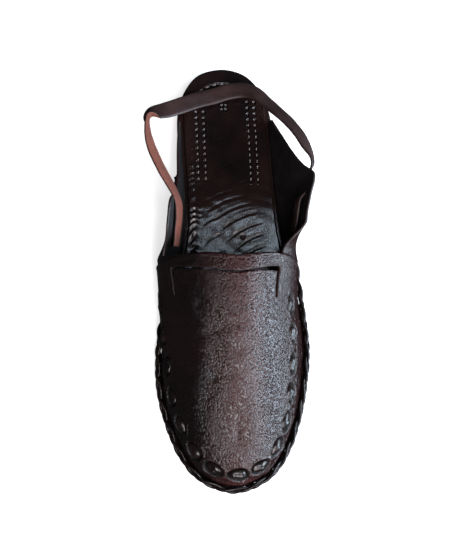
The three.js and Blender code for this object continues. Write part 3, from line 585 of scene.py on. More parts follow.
def flesh_leather():
    n = Nodes("strap_flesh")
    fibres = n.noise(900.0, 6.0, 0.8)
    base = n.mix(n.ramp(fibres, 0.3, 0.7), (0.085, 0.026, 0.018), (0.26, 0.085, 0.055))
    base = n.mix(n.ramp(n.noise(60.0, 3.0), 0.4, 0.65, 0.0, 0.5), base, (0.10, 0.035, 0.026))
    return n.finish(Base_Color=base, Roughness=0.85, Normal=n.bump(fibres, 0.8, 0.0005),
                    Specular_IOR_Level=0.25)


# Smooth leathers: name, dark and light colour, patches per metre, roughness from and to, pores per
# metre, the grain's depth in metres, and for one of them its strength
SMOOTH_LEATHERS = dict(
    # Inside of the upper: its rust-brown flesh side painted near black, as painted shade
    inside_shade=("upper_inside_shade", (0.003, 0.0025, 0.0025), (0.007, 0.005, 0.005), 40, (0.5, 0.7), 900, 0.0003),
    insole=("insole_grain", (0.005, 0.0035, 0.0035), (0.019, 0.009, 0.008), 30, (0.14, 0.24), 700, 0.0003,
            0.25),
    outsole=("outsole_hide", (0.007, 0.004, 0.0035), (0.022, 0.008, 0.007), 24, (0.30, 0.46), 800, 0.0002),
    edge=("sole_edge", (0.008, 0.005, 0.0045), (0.035, 0.014, 0.011), 90, (0.36, 0.55), 1200, 0.0003),
    heel=("heel_hide", (0.012, 0.0045, 0.0045), (0.075, 0.011, 0.010), 28, (0.28, 0.44), 800, 0.0002),
    thong=("thong_grain", (0.003, 0.0025, 0.0025), (0.014, 0.007, 0.006), 70, (0.22, 0.36), 1100, 0.0002),
    strap=("strap_grain", (0.022, 0.0105, 0.010), (0.050, 0.024, 0.022), 50, (0.42, 0.58), 1200, 0.0003),
    # Heel thread: light grey as a painted highlight standing for glints on dark stitches
    thread=("heel_thread_glint", (0.16, 0.13, 0.125), (0.34, 0.30, 0.29), 200, (0.25, 0.4), 1500, 0.0001),
)
MATERIALS = {"upper": pebbled_leather()}
for key, look in SMOOTH_LEATHERS.items():
    MATERIALS[key] = smooth_leather(*look)
MATERIALS["flesh"] = flesh_leather()


# Upper
def oval_places():
    places = []
    for i in range(OVAL_COUNT):
        middle = i * OVAL_PITCH - RAIL_REACH
        place, ahead, behind = (rail_place(at, oval_rise(at)) for at in (middle, middle + 2, middle - 2))
        along = unit(ahead["point"] - behind["point"])
        lifted = unit(place["normal"] + UP * OVAL_TILT[place["side"]])
        normal = unit(lifted - along * np.dot(lifted, along))
        place.update(along=along, normal=normal, across=np.cross(normal, along), index=i)
        places.append(place)
    return places


OVALS = oval_places()


def oval_radius(p, place, grow=0.0):
    """1 on the egg-shaped edge of a thong hole, less inside it."""
    q = p - place["point"]
    a = q @ place["along"] / (OVAL_LENGTH / 2 + grow)
    b = q @ place["across"] / (OVAL_WIDTH / 2 + grow)
    lean = OVAL_LEAN[place["index"] % 2]
    b = b / (1 + lean * np.clip(a, -1, 1))
    far = np.abs(q @ place["normal"]) > 7
    return np.where(far, 9.0, np.sqrt(a * a + b * b))


# Soft creases of the vamp and the insole: both ends from the heel's back, half width and depth
VAMP_CREASES = [
    (-13, -178, -24, -246, 4.5, 0.45),
    (13, -172, 21, -226, 4, 0.40),
    (-26, -196, 6, -188, 3, 0.35),
    (-8, -206, 24, -202, 3, 0.35),
    (-22, -222, 4, -216, 2.5, 0.25),
    (-30, -160, -22, -182, 3, 0.35),
    (25, -158, 31, -178, 3, 0.30),
]
# The insole's run across it, most of them under the instep
INSOLE_CREASES = [
    (-15, -98, 6, -90, 0.90, 0.25),
    (-14, -104, 12, -94, 0.98, 0.28),
    (-10, -110, 16, -99, 0.90, 0.25),
    (-6, -117, 19, -105, 0.98, 0.28),
    (-2, -124, 22, -112, 0.90, 0.25),
    (2, -131, 24, -119, 0.98, 0.25),
    (4, -138, 25, -127, 0.90, 0.22),
    (-18, -114, -6, -108, 0.75, 0.19),
    (-17, -126, -4, -119, 0.75, 0.19),
    (-16, -138, -2, -131, 0.75, 0.17),
    (8, -86, 22, -81, 0.75, 0.19),
    (-6, -76, 6, -70, 0.75, 0.17),
    (-8, -56, 2, -52, 0.75, 0.14),
]


def creases(p, lines):
    """Troughs with a low ridge beside them."""
    total = np.zeros(p.shape[:-1])
    for x0, y0, x1, y1, width, depth in lines:
        start = np.array([x0, y0])
        span = np.array([x1, y1]) - start
        length = np.linalg.norm(span)
        q = p[..., :2] - start
        t = (q @ span) / length ** 2
        bow = 0.06 * length * np.sin(math.pi * np.clip(t, 0, 1))
        off = (q[..., 0] * span[1] - q[..., 1] * span[0]) / length + bow
        fade = smoothstep(t, -0.1, 0.25) * (1 - smoothstep(t, 0.75, 1.1))
        total -= depth * fade * np.exp(-(off / width) ** 2)
        total += 0.5 * depth * fade * np.exp(-((off - 1.9 * width) / width) ** 2)
    return total


# Relief of the upper in millimetres: hole's depth and lip, pinch of the leather beside it, and groove
# above the plait
HOLE_DEPTH = 2.3
HOLE_LIP = 0.6
PINCH_RISE = 0.4
PINCH_HALF_WIDTH = 2.0
RIM_GROOVE = 0.35
RIM_GROOVE_RISE = 4.0


def upper_relief(side, share, height, p):
    """How far the outer face stands off its plain form, in millimetres."""
    d = 0.30 * wave(p, 3, 42.0) + 0.10 * wave(p, 5, 13.0)
    distance = -p[..., 1]
    rise = p[..., 2] - rim_height(distance)
    offset = (1 - share) * CHAIN_LENGTH[side]
    along = offset / RAIL_REACH
    edge = OVAL_HEIGHT + OVAL_CLIMB[side] * along ** 2 - EDGE_BELOW_OVALS
    into_vamp = np.minimum(distance - BAND_START - 1.5, rise - edge)
    d += 0.45 - LAP_STEP * (1 - smoothstep(into_vamp, -0.45, 0.45))
    d += 0.25 * np.exp(-((into_vamp - 1.0) / 0.8) ** 2)
    d += creases(p, VAMP_CREASES) * smoothstep(height, 0.45, 0.75)
    for place in OVALS:
        r = oval_radius(p, place)
        d += HOLE_LIP * np.exp(-((r - 1.24) / 0.2) ** 2)
        d -= HOLE_DEPTH * (1 - smoothstep(r, 0.86, 1.06))
        q = p - place["point"]
        near = np.abs(q @ place["normal"]) < 9
        down = q @ place["across"]
        strip = np.abs(q @ place["along"] + 0.35 * down) < PINCH_HALF_WIDTH
        d += PINCH_RISE * (near & strip & (down < -5.2) & (rise > 5.0))
    on_vamp = smoothstep(distance, BAND_START + 12, BAND_START + 40)
    d -= RIM_GROOVE * on_vamp * np.exp(-((rise - RIM_GROOVE_RISE) / 1.2) ** 2)
    return d


def hole_shade_mask(p):
    """Painted shade: 1 inside a thong hole and round its rim, where the gap round the thong lies in shadow,
    and 0 on the open leather.
    """
    shade = np.zeros(p.shape[:-1])
    for place in OVALS:
        shade = np.maximum(shade, 1 - smoothstep(oval_radius(p, place), 1.00, 1.16))
    return shade


# Slit in the upper's grid: half widths of its legs as shares of the vamp's height, its bow as a share of
# the band's width, and where the grid is straight again past its legs
LEG_HALF = {"medial": 0.008, "lateral": 0.016}
SLIT_BOW = 0.2
SLIT_BLEND_END = 200.0


def nearest(values, value):
    return int(np.argmin(np.abs(values - value)))


def upper_heights(side):
    """Shares of the wall's height for the grid's lines, with one on each side of the slit's leg."""
    leg, half, split = SLIT_PLACE[side], LEG_HALF[side], QUARTER_SPLIT[side]
    heights = np.concatenate([np.linspace(0, split, 45), np.linspace(split, 1, 24)[1:]])
    heights = heights[np.abs(heights - leg) > half * 1.6]
    heights = np.concatenate([heights, [leg - half, leg + half, split]])
    return np.unique(np.round(heights, 6))


def upper_grid(side):
    leg, half, split = SLIT_PLACE[side], LEG_HALF[side], QUARTER_SPLIT[side]
    heights = upper_heights(side)
    slit = BAND_START + BAND_WIDTH
    edge = SLIT_WIDTH / 2
    leg_end = slit + SLIT_LEG
    distances = np.concatenate([
        np.linspace(QUARTER_START, BAND_START, 96, endpoint=False),
        np.linspace(BAND_START, slit - edge, 12, endpoint=False),
        [slit - edge, slit + edge],
        np.linspace(slit + edge, leg_end, 18)[1:],
        np.linspace(leg_end, TOE_START, 60)[1:],
    ])
    toe_share = np.linspace(share_at(side, TOE_START), 1.0, 110)[1:]
    distance = np.concatenate([distances, np.full(len(toe_share), TOE_START)])
    height = np.broadcast_to(heights, (len(distance), len(heights))).copy()
    past_legs = 1 - smoothstep(distance, leg_end, SLIT_BLEND_END)
    near = smoothstep(distance, BAND_START, slit - 1) * past_legs
    bend = -SLIT_BOW * BAND_WIDTH * (1 - smoothstep(height, leg, 1.0))
    shifted = distance[:, None] + bend * near[:, None]
    if side == "lateral":
        gape = (SLIT_GAPE - SLIT_WIDTH) * (1 - smoothstep(height, leg, 0.9))
        shifted = shifted + gape * ((distance > slit) * past_legs)[:, None]
    share = share_at(side, shifted)
    share[len(distances):] = toe_share[:, None]
    is_quarter = distance < BAND_START - 1e-6
    quarter = quarter_point(side, share, np.clip(height / split, 0, 1))
    points = np.where(is_quarter[:, None, None], quarter, vamp_point(side, share, height))
    keep = np.ones((len(distance) - 1, len(heights) - 1), bool)
    keep[is_quarter[:-1], nearest(heights, split):] = False
    first = nearest(distances, slit - edge)
    low = nearest(heights, leg - half)
    keep[first, low:] = False
    keep[first:nearest(distances, leg_end), low:nearest(heights, leg + half)] = False
    return points, share, height, keep


def upper_walls(side, points, share, height):
    """Outer and inner points of a side's wall, whose thickness has no sideways part on the ridge."""
    normal = unit(np.cross(np.gradient(points, axis=0), np.gradient(points, axis=1)))
    if side == "lateral":
        normal = -normal
    normal[0] = normal[1]
    normal[-1] = unit(normal[-2] * np.array([0.2, 1.0, 1.0]))
    normal[:, -1] = unit(normal[:, -2] * np.array([0.0, 1.0, 1.0]))
    normal[:, 0] = unit(normal[:, 0] * np.array([1.0, 1.0, 0.0]))
    relief = upper_relief(side, share, height, points) * smoothstep(height, 0.0, 0.03)
    return points + normal * relief[..., None], points - normal * WALL


def join_sides(medial, lateral, medial_heights, lateral_heights):
    """Gives both sides the same points on the ridge and at the toe."""
    middle = (medial[:, -1] + lateral[:, -1]) / 2
    medial[:, -1] = middle
    lateral[:, -1] = middle
    lateral[-1] = np.stack([np.interp(lateral_heights, medial_heights, medial[-1][:, k])
                            for k in range(3)], axis=1)


def make_upper():
    grids = {side: upper_grid(side) for side in SIDES}
    walls = {side: upper_walls(side, *grids[side][:3]) for side in SIDES}
    for medial, lateral in zip(walls["medial"], walls["lateral"]):
        join_sides(medial, lateral, grids["medial"][2][-1], grids["lateral"][2][-1])
    outer, inner = (np.concatenate([walls[side][k].reshape(-1, 3) for side in SIDES]) for k in (0, 1))
    total = len(outer)
    faces = []
    face_material = []
    edges = []
    base = 0
    for side in SIDES:
        points, _, _, keep = grids[side]
        columns = points.shape[1]
        for i, j in zip(*np.nonzero(keep)):
            a = base + i * columns + j
            quad = (a, a + columns, a + columns + 1, a + 1)
            if side == "lateral":
                quad = quad[::-1]
            faces += [quad, tuple(total + v for v in quad[::-1])]
            face_material += [0, 1]
            edges += [(quad[k], quad[(k + 1) % 4]) for k in range(4)]
        base += points.shape[0] * columns
    first = {}
    same = [first.setdefault(tuple(np.round(v, 4)), i) for i, v in enumerate(outer)]
    joined = {(same[a], same[b]) for a, b in edges}
    for a, b in edges:
        if same[a] != same[b] and (same[b], same[a]) not in joined:
            faces.append((b, a, total + a, total + b))
            face_material.append(2)
    # The inner faces take the near-black painted shade
    looks = [MATERIALS[key] for key in ("upper", "inside_shade", "edge")]
    obj = make_object("upper_shell", np.concatenate([outer, inner]), faces, looks, face_material)
    # Painted shade of the thong holes on the outer points, none on the inner ones
    hole_shades = [hole_shade_mask(grids[side][0]).ravel() for side in SIDES] + [np.zeros(total)]
    hole_shade = obj.data.attributes.new("hole_shade", "FLOAT", "POINT")
    hole_shade.data.foreach_set("value", np.concatenate(hole_shades).astype(np.float32))
    weld(obj, 0.00002)
    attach(obj, "root")
    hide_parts("upper")


def weld(obj, distance):
    mesh = bmesh.new()
    mesh.from_mesh(obj.data)
    bmesh.ops.remove_doubles(mesh, verts=mesh.verts, dist=distance)
    bmesh.ops.dissolve_degenerate(mesh, edges=mesh.edges, dist=1e-6)
    mesh.to_mesh(obj.data)
    mesh.free()


# Thong beads in the vamp's holes, and the thong's inner run behind them
BEAD_CLEARANCE = 0.7
BEAD_RISE = 2.6
BEAD_DEPTH = 0.9
BEAD_FOLD = 1 / 6
INNER_RUN = ((2.5, 0.5), (2.0, 0.7), (-2.0, 0.7), (-2.5, 0.5),
             (-2.5, -0.5), (-2.0, -0.7), (2.0, -0.7), (2.5, -0.5))


def make_thong():
    points = []
    faces = []
    rings = 14
    sides = 28
    polar = math.pi * np.arange(rings + 1)[:, None] / rings
    turn = 2 * math.pi * np.arange(sides) / sides
    a = np.sin(polar) * np.cos(turn) * (OVAL_LENGTH / 2 - BEAD_CLEARANCE)
    wide = np.sin(polar) * np.sin(turn) * (OVAL_WIDTH / 2 - BEAD_CLEARANCE)
    rng = np.random.default_rng(11)
    for place in OVALS:
        twist = rng.uniform(-0.35, 0.35)
        lift = rng.uniform(0.85, 1.1)
        b = wide * (1 + OVAL_LEAN[place["index"] % 2] * a / (OVAL_LENGTH / 2))
        c = np.cos(polar) * BEAD_RISE * lift + np.zeros_like(a)
        fold = BEAD_FOLD * np.exp(-((b + 0.9 * np.sin(a * 0.5) + twist * a) / 0.45) ** 2)
        c = np.where(c > 0, c * (1 + 0.14 * np.sin(a * 0.9 + twist * 6) - fold), c)
        centre = place["point"] - place["normal"] * BEAD_DEPTH
        bead = (centre + a[..., None] * place["along"] + b[..., None] * place["across"]
                + c[..., None] * place["normal"])
        faces += loop_faces(rings + 1, sides, len(points), caps=False)
        points += list(bead.reshape(-1, 3))
    count = OVAL_COUNT * 6
    reach = RAIL_REACH + OVAL_LENGTH / 2
    base = len(points)
    for i in range(count + 1):
        offset = lerp(-reach, reach, i / count)
        place = rail_place(offset, oval_rise(offset))
        up = unit(UP - place["normal"] * place["normal"][2])
        centre = place["point"] - place["normal"] * (WALL + GAP + BEAD_DEPTH)
        for a, c in INNER_RUN:
            points.append(centre + up * a + place["normal"] * c)
    faces += loop_faces(count + 1, len(INNER_RUN), base)
    obj = make_object("vamp_thong_beads", points, faces, [MATERIALS["thong"]])
    weld(obj, 0.000001)
    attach(obj, "root")
    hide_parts("vamp_thong")


# Plaited rim: length of a strand's whole swing, step along the rim, swing up and down, how far a strand
# stands out and weaves in and out, half its width and thickness, and how many there are
PLAIT_PERIOD = 42.0
PLAIT_STEP = 1.3
PLAIT_SWING = 2.55
PLAIT_STAND = 1.55
PLAIT_WEAVE = 0.95
STRAND_WIDTH = 2.05
STRAND_THICKNESS = 1.05
STRANDS = 3


def make_braid():
    reach = {s: CHAIN_LENGTH[s] * (1 - float(share_at(s, BRAID_START))) for s in SIDES}
    total = reach["medial"] + reach["lateral"]
    steps = int(total / PLAIT_STEP)
    spine = []
    for i in range(steps + 1):
        offset = lerp(-reach["medial"], reach["lateral"], i / steps)
        side = side_of(offset)
        share = 1 - abs(offset) / CHAIN_LENGTH[side]
        edge, out = outline(side, share, -GAP)
        out = np.append(out, 0.0)
        low = np.append(edge, underside(-edge[1]) + OUTSOLE_THICKNESS * BRAID_FOOT)
        top = rail_place(offset, low[2] + BRAID_HEIGHT - rim_height(-edge[1]))["point"]
        spine.append((offset, low, top + out * GAP * 2.5, out))
    offset, low, top, out = (np.array(column) for column in zip(*spine))
    middle = (low + top) / 2
    up = unit(top - low)
    index = np.arange(steps + 1)
    fade = np.minimum(1, np.minimum(index, index[::-1]) / 6.0)
    around = 12
    turn = 2 * math.pi * np.arange(around) / around
    a = STRAND_WIDTH * np.cos(turn)[:, None]
    b = STRAND_THICKNESS * (np.sin(turn) * (1 - 0.18 * np.cos(turn) ** 2))[:, None]
    points = []
    faces = []
    for strand in range(STRANDS):
        theta = 2 * math.pi * (offset / PLAIT_PERIOD + strand / STRANDS)
        swing = PLAIT_SWING * np.sin(theta) * (0.4 + 0.6 * fade)
        stand = PLAIT_STAND + PLAIT_WEAVE * np.sin(2 * theta)
        centres = middle + up * swing[:, None] + out * stand[:, None]
        along = unit(np.gradient(centres, axis=0))
        sideways = unit(np.cross(along, out))
        outwards = np.cross(sideways, along)
        rings = centres[:, None] + sideways[:, None] * a + outwards[:, None] * b
        faces += loop_faces(steps + 1, around, len(points))
        points += list(rings.reshape(-1, 3))
    obj = make_object("rim_plait", points, faces, [MATERIALS["thong"]])
    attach(obj, "root")
    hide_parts("rim_braid")


# Sole layers
def layer_rows(insets, count, ends=None):
    """Pairs of edge points of the whole sole, or of its heel up to a share of each side's outline."""
    rows = []
    for i in range(count + 1):
        at = i / count
        if ends is None:
            t = lerp(0.5 - 0.5 * math.cos(math.pi * at), at, 0.75 * math.sin(math.pi * at) ** 0.5)
        else:
            t = 1 - math.cos(math.pi / 2 * at)
        pair = []
        for side in SIDES:
            share = t if ends is None else t * ends[side]
            distance = -outline(side, share, 0.0)[0][1]
            pair.append(outline(side, share, insets(distance))[0])
        rows.append(pair)
    return np.array(rows)


def make_layer(name, rows, bottoms, thickness, relief_top, relief_bottom, columns, materials,
               bulge=0.35, groove=0.0):
    """Layer of leather with a rounded edge. Columns are those of the top, the underside and an edge."""
    columns_top, columns_under, edge_columns = columns
    medial = rows[:, 0]
    lateral = rows[:, 1]
    half = np.linalg.norm(lateral - medial, axis=1) / 2
    ends = np.minimum(np.arange(len(rows)), np.arange(len(rows))[::-1])[:, None] / 2.0

    def face(count, lift, sign, relief):
        t = np.linspace(0, 1, count)
        eased = lerp(t, 0.5 - 0.5 * np.cos(math.pi * t), 0.35)
        plan = medial[:, None] + (lateral - medial)[:, None] * eased[None, :, None]
        rim = np.minimum(np.minimum(eased, 1 - eased)[None, :] * 2 * half[:, None], 1.0)
        soft = np.clip(np.minimum(rim, ends), 0, 1)
        flat = np.concatenate([plan, np.zeros_like(plan[..., :1])], axis=-1)
        made = flat.copy()
        made[..., 2] = bottoms(-plan[..., 1]) + lift - sign * 0.5 * (1 - soft) ** 2 + relief(flat) * soft
        return made

    top = face(columns_top, thickness, 1, relief_top)
    under = face(columns_under, 0.0, -1, relief_bottom)
    out = np.pad(unit(lateral - medial), ((0, 0), (0, 1))) * np.clip(half, 0, 1)[:, None]
    t = (np.arange(1, edge_columns) / edge_columns)[:, None]
    swell = out[:, None] * (bulge * np.sin(math.pi * t) - groove * np.abs(np.sin(2 * math.pi * t)))
    ring = np.concatenate([top, lerp(top[:, -1:], under[:, -1:], t) + swell, under[:, ::-1],
                           lerp(under[:, :1], top[:, :1], t) - swell], axis=1)
    around = ring.shape[1]
    faces = loop_faces(len(rows), around)
    kinds = np.ones(around, int)
    kinds[:columns_top - 1] = 0
    start = columns_top + edge_columns - 1
    kinds[start:start + columns_under - 1] = 2
    face_material = list(np.tile(kinds, len(rows) - 1)) + [1, 1]
    faces = [f[::-1] for f in faces]
    obj = make_object(name, ring.reshape(-1, 3), faces, materials, face_material)
    weld(obj, 0.000002)
    return obj


def dents(centres, radius, depth):
    centres = np.asarray(centres, float)

    def relief(p):
        total = np.zeros(p.shape[:-1])
        for x, y in centres:
            close = (np.abs(p[..., 0] - x) < radius * 2.5) & (np.abs(p[..., 1] - y) < radius * 2.5)
            q = (p[close][:, 0] - x) ** 2 + (p[close][:, 1] - y) ** 2
            total[close] -= depth * np.exp(-(q / radius ** 2) ** 1.5) - 0.25 * depth * np.exp(
                -((np.sqrt(q) - radius * 1.5) / (radius * 0.4)) ** 2)
        return total
    return relief


def peg_places(inset, pitch, start):
    places = []
    for side in SIDES:
        first = float(share_at(side, start))
        count = int(CHAIN_LENGTH[side] * (1 - first) / pitch)
        for i in range(count + 1):
            share = lerp(first, 1.0, i / count)
            places.append(outline(side, share, inset)[0])
    return places


def insole_inset(distance):
    inside = RIM_INSET + WALL + SLOPE_ROOM + GAP
    start = QUARTER_START - INSOLE_TAPER_START
    return lerp(EDGE_CHAMFER, inside, float(smoothstep(distance, start, QUARTER_START - INSOLE_TAPER_LEAD)))


# Stamped dots, heel pad's outline and nail hole of the insole, and nails and pegs of the underside
DOT_ROWS = as_table("x top bottom count spread", [
    (-19.1, -33.5, -82.5, 12, 4.9),
    (16.0, -26.0, -83.5, 14, 4.8),
])
LOOSE_DOTS = [(-1.3, -28.5), (1.3, -28.5), (-1.3, -31.5), (1.3, -31.5)]
DOT_RADIUS = 1.05
DOT_DEPTH = 1.2
HEEL_PAD_Y = -37.0
HEEL_PAD_RADII = (27.0, 25.0)
NAIL_HOLE = (9.0, -122.0)
NAILS = [(-20, -78), (18, -74), (-22, -40), (22, -38), (0, -14), (-14, -22), (14, -21)]
NAIL_RADIUS = 0.9
NAIL_DEPTH = 0.5
PEG_RADIUS = 1.0
PEG_DEPTH = 0.9


def stamped_dots():
    dots = []
    for row in DOT_ROWS:
        for i in range(row["count"]):
            y = lerp(row["top"], row["bottom"], i / (row["count"] - 1))
            dots += [(row["x"], y), (row["x"] + row["spread"], y)]
    return dots + LOOSE_DOTS


def insole_relief(p):
    x = p[..., 0]
    y = p[..., 1]
    total = dents(stamped_dots(), DOT_RADIUS, DOT_DEPTH)(p)
    total += 0.22 * wave(p, 21, 30.0)
    total += creases(p, INSOLE_CREASES)
    middle = smoothstep(-y, 60, 95) * (1 - smoothstep(-y, 150, 190))
    slant = (x * 0.45 + y * 0.89) / 1.35 + 1.4 * np.sin(x / 6.0) + 1.1 * np.sin(y / 7.0 + 1)
    total += 0.07 * middle * np.sin(slant) * (0.5 + 0.5 * np.sin(x / 7.0 + y / 11.0))
    edge = np.exp(-((x + 23.0 - 1.2 * np.sin(y / 6.0)) / 2.6) ** 2)
    crinkle = np.sin(y * 1.3 + 2.2 * np.sin(y / 4.3) + 1.2 * np.sin(x * 0.9))
    total += edge * 0.34 * crinkle * smoothstep(-y, 50, 70)
    pad = np.hypot(x / HEEL_PAD_RADII[0], (y - HEEL_PAD_Y) / HEEL_PAD_RADII[1])
    total -= 0.35 * np.exp(-((pad - 1.0) / 0.03) ** 2) * (y > HEEL_PAD_Y)
    total += 0.25 * np.exp(-((pad - 1.07) / 0.03) ** 2) * (y > HEEL_PAD_Y)
    hole = np.hypot(x - NAIL_HOLE[0], y - NAIL_HOLE[1])
    return total - np.exp(-(hole / 1.1) ** 2)


def make_sole():
    plain = [MATERIALS["insole"], MATERIALS["edge"], MATERIALS["outsole"]]
    pegs = dents(peg_places(PEG_INSET, PEG_PITCH, HEEL_LENGTH + PEG_LEAD), PEG_RADIUS, PEG_DEPTH)

    def outsole_under(p):
        return 0.12 * wave(p, 31, 35.0) - pegs(p)

    def quiet(p):
        return np.zeros(p.shape[:-1])

    outsole = make_layer("outsole_layer", layer_rows(lambda d: 0.0, 300), underside, OUTSOLE_THICKNESS,
                         quiet, outsole_under, (24, 96, 6), plain)
    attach(outsole, "root")
    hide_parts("outsole")

    insole = make_layer("insole_layer", layer_rows(insole_inset, 520), rim_height, INSOLE_THICKNESS,
                        insole_relief, quiet, (150, 12, 4), plain)
    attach(insole, "root")
    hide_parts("insole")

    ends = {"medial": float(share_at("medial", HEEL_LENGTH)),
            "lateral": float(share_at("lateral", HEEL_LENGTH - HEEL_FRONT_SLANT))}
    heel = [MATERIALS["heel"]] * 3
    nails = dents(NAILS, NAIL_RADIUS, NAIL_DEPTH)
    for i in range(LIFT_COUNT):
        inset = LIFT_INSET + LIFT_SETBACK * (LIFT_COUNT - 1 - i)
        bottom = i * (LIFT_THICKNESS + GAP)
        under = (lambda p: -nails(p)) if i == 0 else quiet
        lift = make_layer(f"heel_layer_{i + 1}", layer_rows(lambda d: inset, 90, ends),
                          lambda d: np.full(np.shape(d), bottom), LIFT_THICKNESS,
                          quiet, under, (16, 60, 8), heel, bulge=0.25, groove=0.18)
        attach(lift, "root")
        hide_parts(f"heel_lift_{i + 1}")


# Thread of the heel pad's stitched arc, whose ends are in degrees; its light grey is a painted highlight
# standing for glints on dark stitches
STITCH_COUNT = 13
STITCH_ARC = (28, 158)
STITCH_LENGTH = 3.1
STITCH_RADIUS = 0.55
STITCH_RISE = 0.45
STITCH_SINK = 0.25


def make_stitches():
    points = []
    faces = []
    a, b = HEEL_PAD_RADII
    level = HEEL_STACK + OUTSOLE_THICKNESS + GAP + INSOLE_THICKNESS
    for angle in np.radians(np.linspace(*STITCH_ARC, STITCH_COUNT)):
        centre = np.array([a * math.cos(angle), HEEL_PAD_Y + b * math.sin(angle), level])
        along = unit(np.array([-a * math.sin(angle), b * math.cos(angle), 0.0]))
        across = np.cross(UP, along)
        base = len(points)
        for t in np.linspace(0, 1, 9):
            arch = math.sin(math.pi * t)
            size = STITCH_RADIUS * math.sqrt(max(0.04, arch))
            middle = centre + along * (t - 0.5) * STITCH_LENGTH
            middle[2] += STITCH_RISE * arch - STITCH_SINK
            for j in range(8):
                turn = 2 * math.pi * j / 8
                points.append(middle + size * (across * math.cos(turn) + UP * math.sin(turn)))
        faces += loop_faces(9, 8, base)
    obj = make_object("heel_stitches", points, faces, [MATERIALS["thread"]])
    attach(obj, "root")


# Heel strap: share of its thickness that its edges lose, and how much it cups in millimetres
STRAP_EDGE = 0.55
STRAP_CUP = 0.5


def strap_keys():
    """Centres, directions across and widths: free from the medial wall, then threaded through the ear."""
    keys = [(np.array([r["x"], r["y"], r["z"]]), np.array(r["across"]), r["width"]) for r in STRAP_TABLE]
    clear = GAP * 2 + STRAP_THICKNESS / 2
    for row in STRAP_THREADING:
        share = float(share_at("lateral", row["distance"]))
        low, middle, high = (surface_point("lateral", share, row["height"] + h) for h in (-0.05, 0, 0.05))
        normal = surface_normal("lateral", share, row["height"])
        depth = clear if row["outside"] > 0 else -(WALL + clear + GAP)
        keys.append((middle + normal * depth, unit(high - low), TONGUE_SHARE))
    return keys


def make_strap():
    keys = strap_keys()
    steps = 14
    count = (len(keys) - 1) * steps
    t = np.linspace(0, 1, count + 1)
    centres = centripetal([k[0] for k in keys], t, False)
    at = t * (len(keys) - 1)
    across = centripetal([unit(k[1]) * 10 for k in keys], t, False)
    width = STRAP_WIDTH * np.interp(at, np.arange(len(keys)), [k[2] for k in keys])
    along = unit(np.gradient(centres, axis=0))
    across = unit(across - along * np.sum(across * along, axis=1, keepdims=True))
    normal = np.cross(along, across)
    columns = 11
    share = np.linspace(-0.5, 0.5, columns)
    half = STRAP_THICKNESS / 2 * (1 - STRAP_EDGE * (np.abs(share) * 2) ** 6)
    half = np.concatenate([half, -half])
    share = np.concatenate([share, share[::-1]])
    cup = STRAP_CUP * np.sin(at * 0.7)[:, None]
    sideways = (width[:, None] * share)[..., None] * across[:, None]
    outwards = (half + cup * (0.25 - share ** 2))[..., None] * normal[:, None]
    points = (centres[:, None] + sideways + outwards).reshape(-1, 3)
    ring_size = columns * 2
    rows = len(centres)
    faces = loop_faces(rows, ring_size)
    kinds = [1] * (columns - 1) + [2] + [0] * (columns - 1) + [2]
    threaded = (len(STRAP_TABLE) - 1) * steps
    face_material = kinds * threaded + [0] * (ring_size * (rows - 1 - threaded)) + [2, 2]
    points += 0.15 * wave(points, 41, 9.0)[:, None] * np.repeat(normal, ring_size, axis=0)
    looks = [MATERIALS[key] for key in ("strap", "flesh", "edge")]
    obj = make_object("strap_band", points, faces, looks, face_material)
    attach(obj, "root")
    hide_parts("heel_strap")


make_upper()
make_thong()
make_braid()
make_sole()
make_stitches()
make_strap()


# Floor, lights and camera
FLOOR_GLOW = 0.72
WORLD_LIGHT = 0.03


def make_floor():
    mesh = bpy.data.meshes.new("floor")
    mesh.from_pydata([(-4, -4, 0), (4, -4, 0), (4, 4, 0), (-4, 4, 0)], [], [(0, 1, 2, 3)])
    n = Nodes("floor_paper")
    tone = n.mix(n.ramp(n.noise(3.0, 2.0), 0.3, 0.7), (0.86, 0.86, 0.86), (0.88, 0.88, 0.88))
    mesh.materials.append(n.finish(Base_Color=tone, Roughness=0.9, Emission_Color=(1.0, 1.0, 1.0, 1.0),
                                   Emission_Strength=FLOOR_GLOW))
    floor = bpy.data.objects.new("floor", mesh)
    bpy.context.scene.collection.objects.link(floor)
    floor.visible_glossy = False


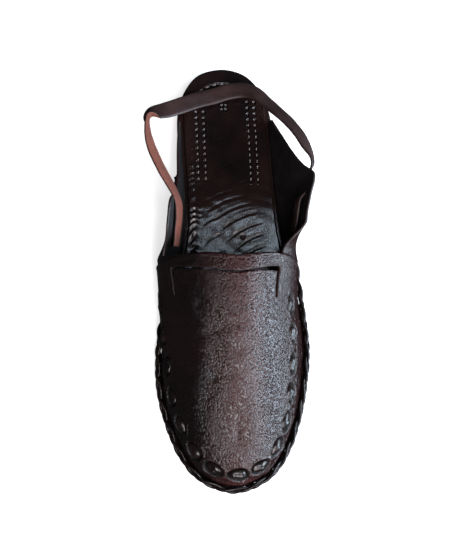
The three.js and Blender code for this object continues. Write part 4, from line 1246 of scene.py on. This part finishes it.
def add_light(name, place, target, size, power, colour):
    light = bpy.data.lights.new(name, "AREA")
    light.shape = "RECTANGLE"
    light.size, light.size_y = size
    light.energy = power
    light.color = colour
    obj = bpy.data.objects.new(name, light)
    obj.location = place
    obj.rotation_euler = (Vector(target) - Vector(place)).to_track_quat("-Z", "Y").to_euler()
    bpy.context.scene.collection.objects.link(obj)


def make_lights():
    add_light("window", (1.0, -0.14, 0.34), (0, -0.04, 0.03), (0.9, 0.46), 28, (0.72, 0.86, 1.0))
    add_light("ceiling", (0.15, -0.66, 1.16), (0, -0.06, 0), (0.34, 0.50), 10, (1.0, 0.92, 0.94))
    add_light("toe_side", (0.16, -1.02, 0.86), (0, -0.10, 0), (0.60, 0.42), 9, (0.93, 0.94, 1.0))
    add_light("insole_lamp", (0.18, -0.06, 1.25), (0.02, 0.03, 0), (0.07, 0.12), 0.9, (0.70, 0.85, 1.0))
    world = bpy.data.worlds.new("studio")
    world.use_nodes = True
    background = world.node_tree.nodes["Background"]
    background.inputs[0].default_value = (1.0, 1.0, 1.0, 1.0)
    background.inputs[1].default_value = WORLD_LIGHT
    bpy.context.scene.world = world
    bpy.context.scene.view_settings.view_transform = "Standard"


# Camera place in millimetres from the sole's outline point at the middle of the heel
CAMERA_PLACE = (-56.3, -305.2, 579.6)
CAMERA_TARGET = (0.0, -146.0, 20.0)
CAMERA_ROLL = 2.47
FOCAL_PIXELS = 905.0
IMAGE_HEIGHT = 538
SENSOR = 36.0


def make_camera():
    data = bpy.data.cameras.new("camera")
    data.sensor_fit = "VERTICAL"
    data.sensor_height = SENSOR
    data.lens = SENSOR * FOCAL_PIXELS / IMAGE_HEIGHT
    data.clip_start = 0.01
    camera = bpy.data.objects.new("camera", data)
    place = Vector((np.array(CAMERA_PLACE) + SHIFT) * MM)
    target = Vector((np.array(CAMERA_TARGET) + SHIFT) * MM)
    back = (place - target).normalized()
    heel_way = Vector((math.sin(math.radians(CAMERA_ROLL)), math.cos(math.radians(CAMERA_ROLL)), 0))
    right = heel_way.cross(back).normalized()
    up = back.cross(right)
    camera.matrix_world = Matrix.Translation(place) @ Matrix((right, up, back)).transposed().to_4x4()
    bpy.context.scene.collection.objects.link(camera)
    bpy.context.scene.camera = camera


make_floor()
make_lights()
make_camera()
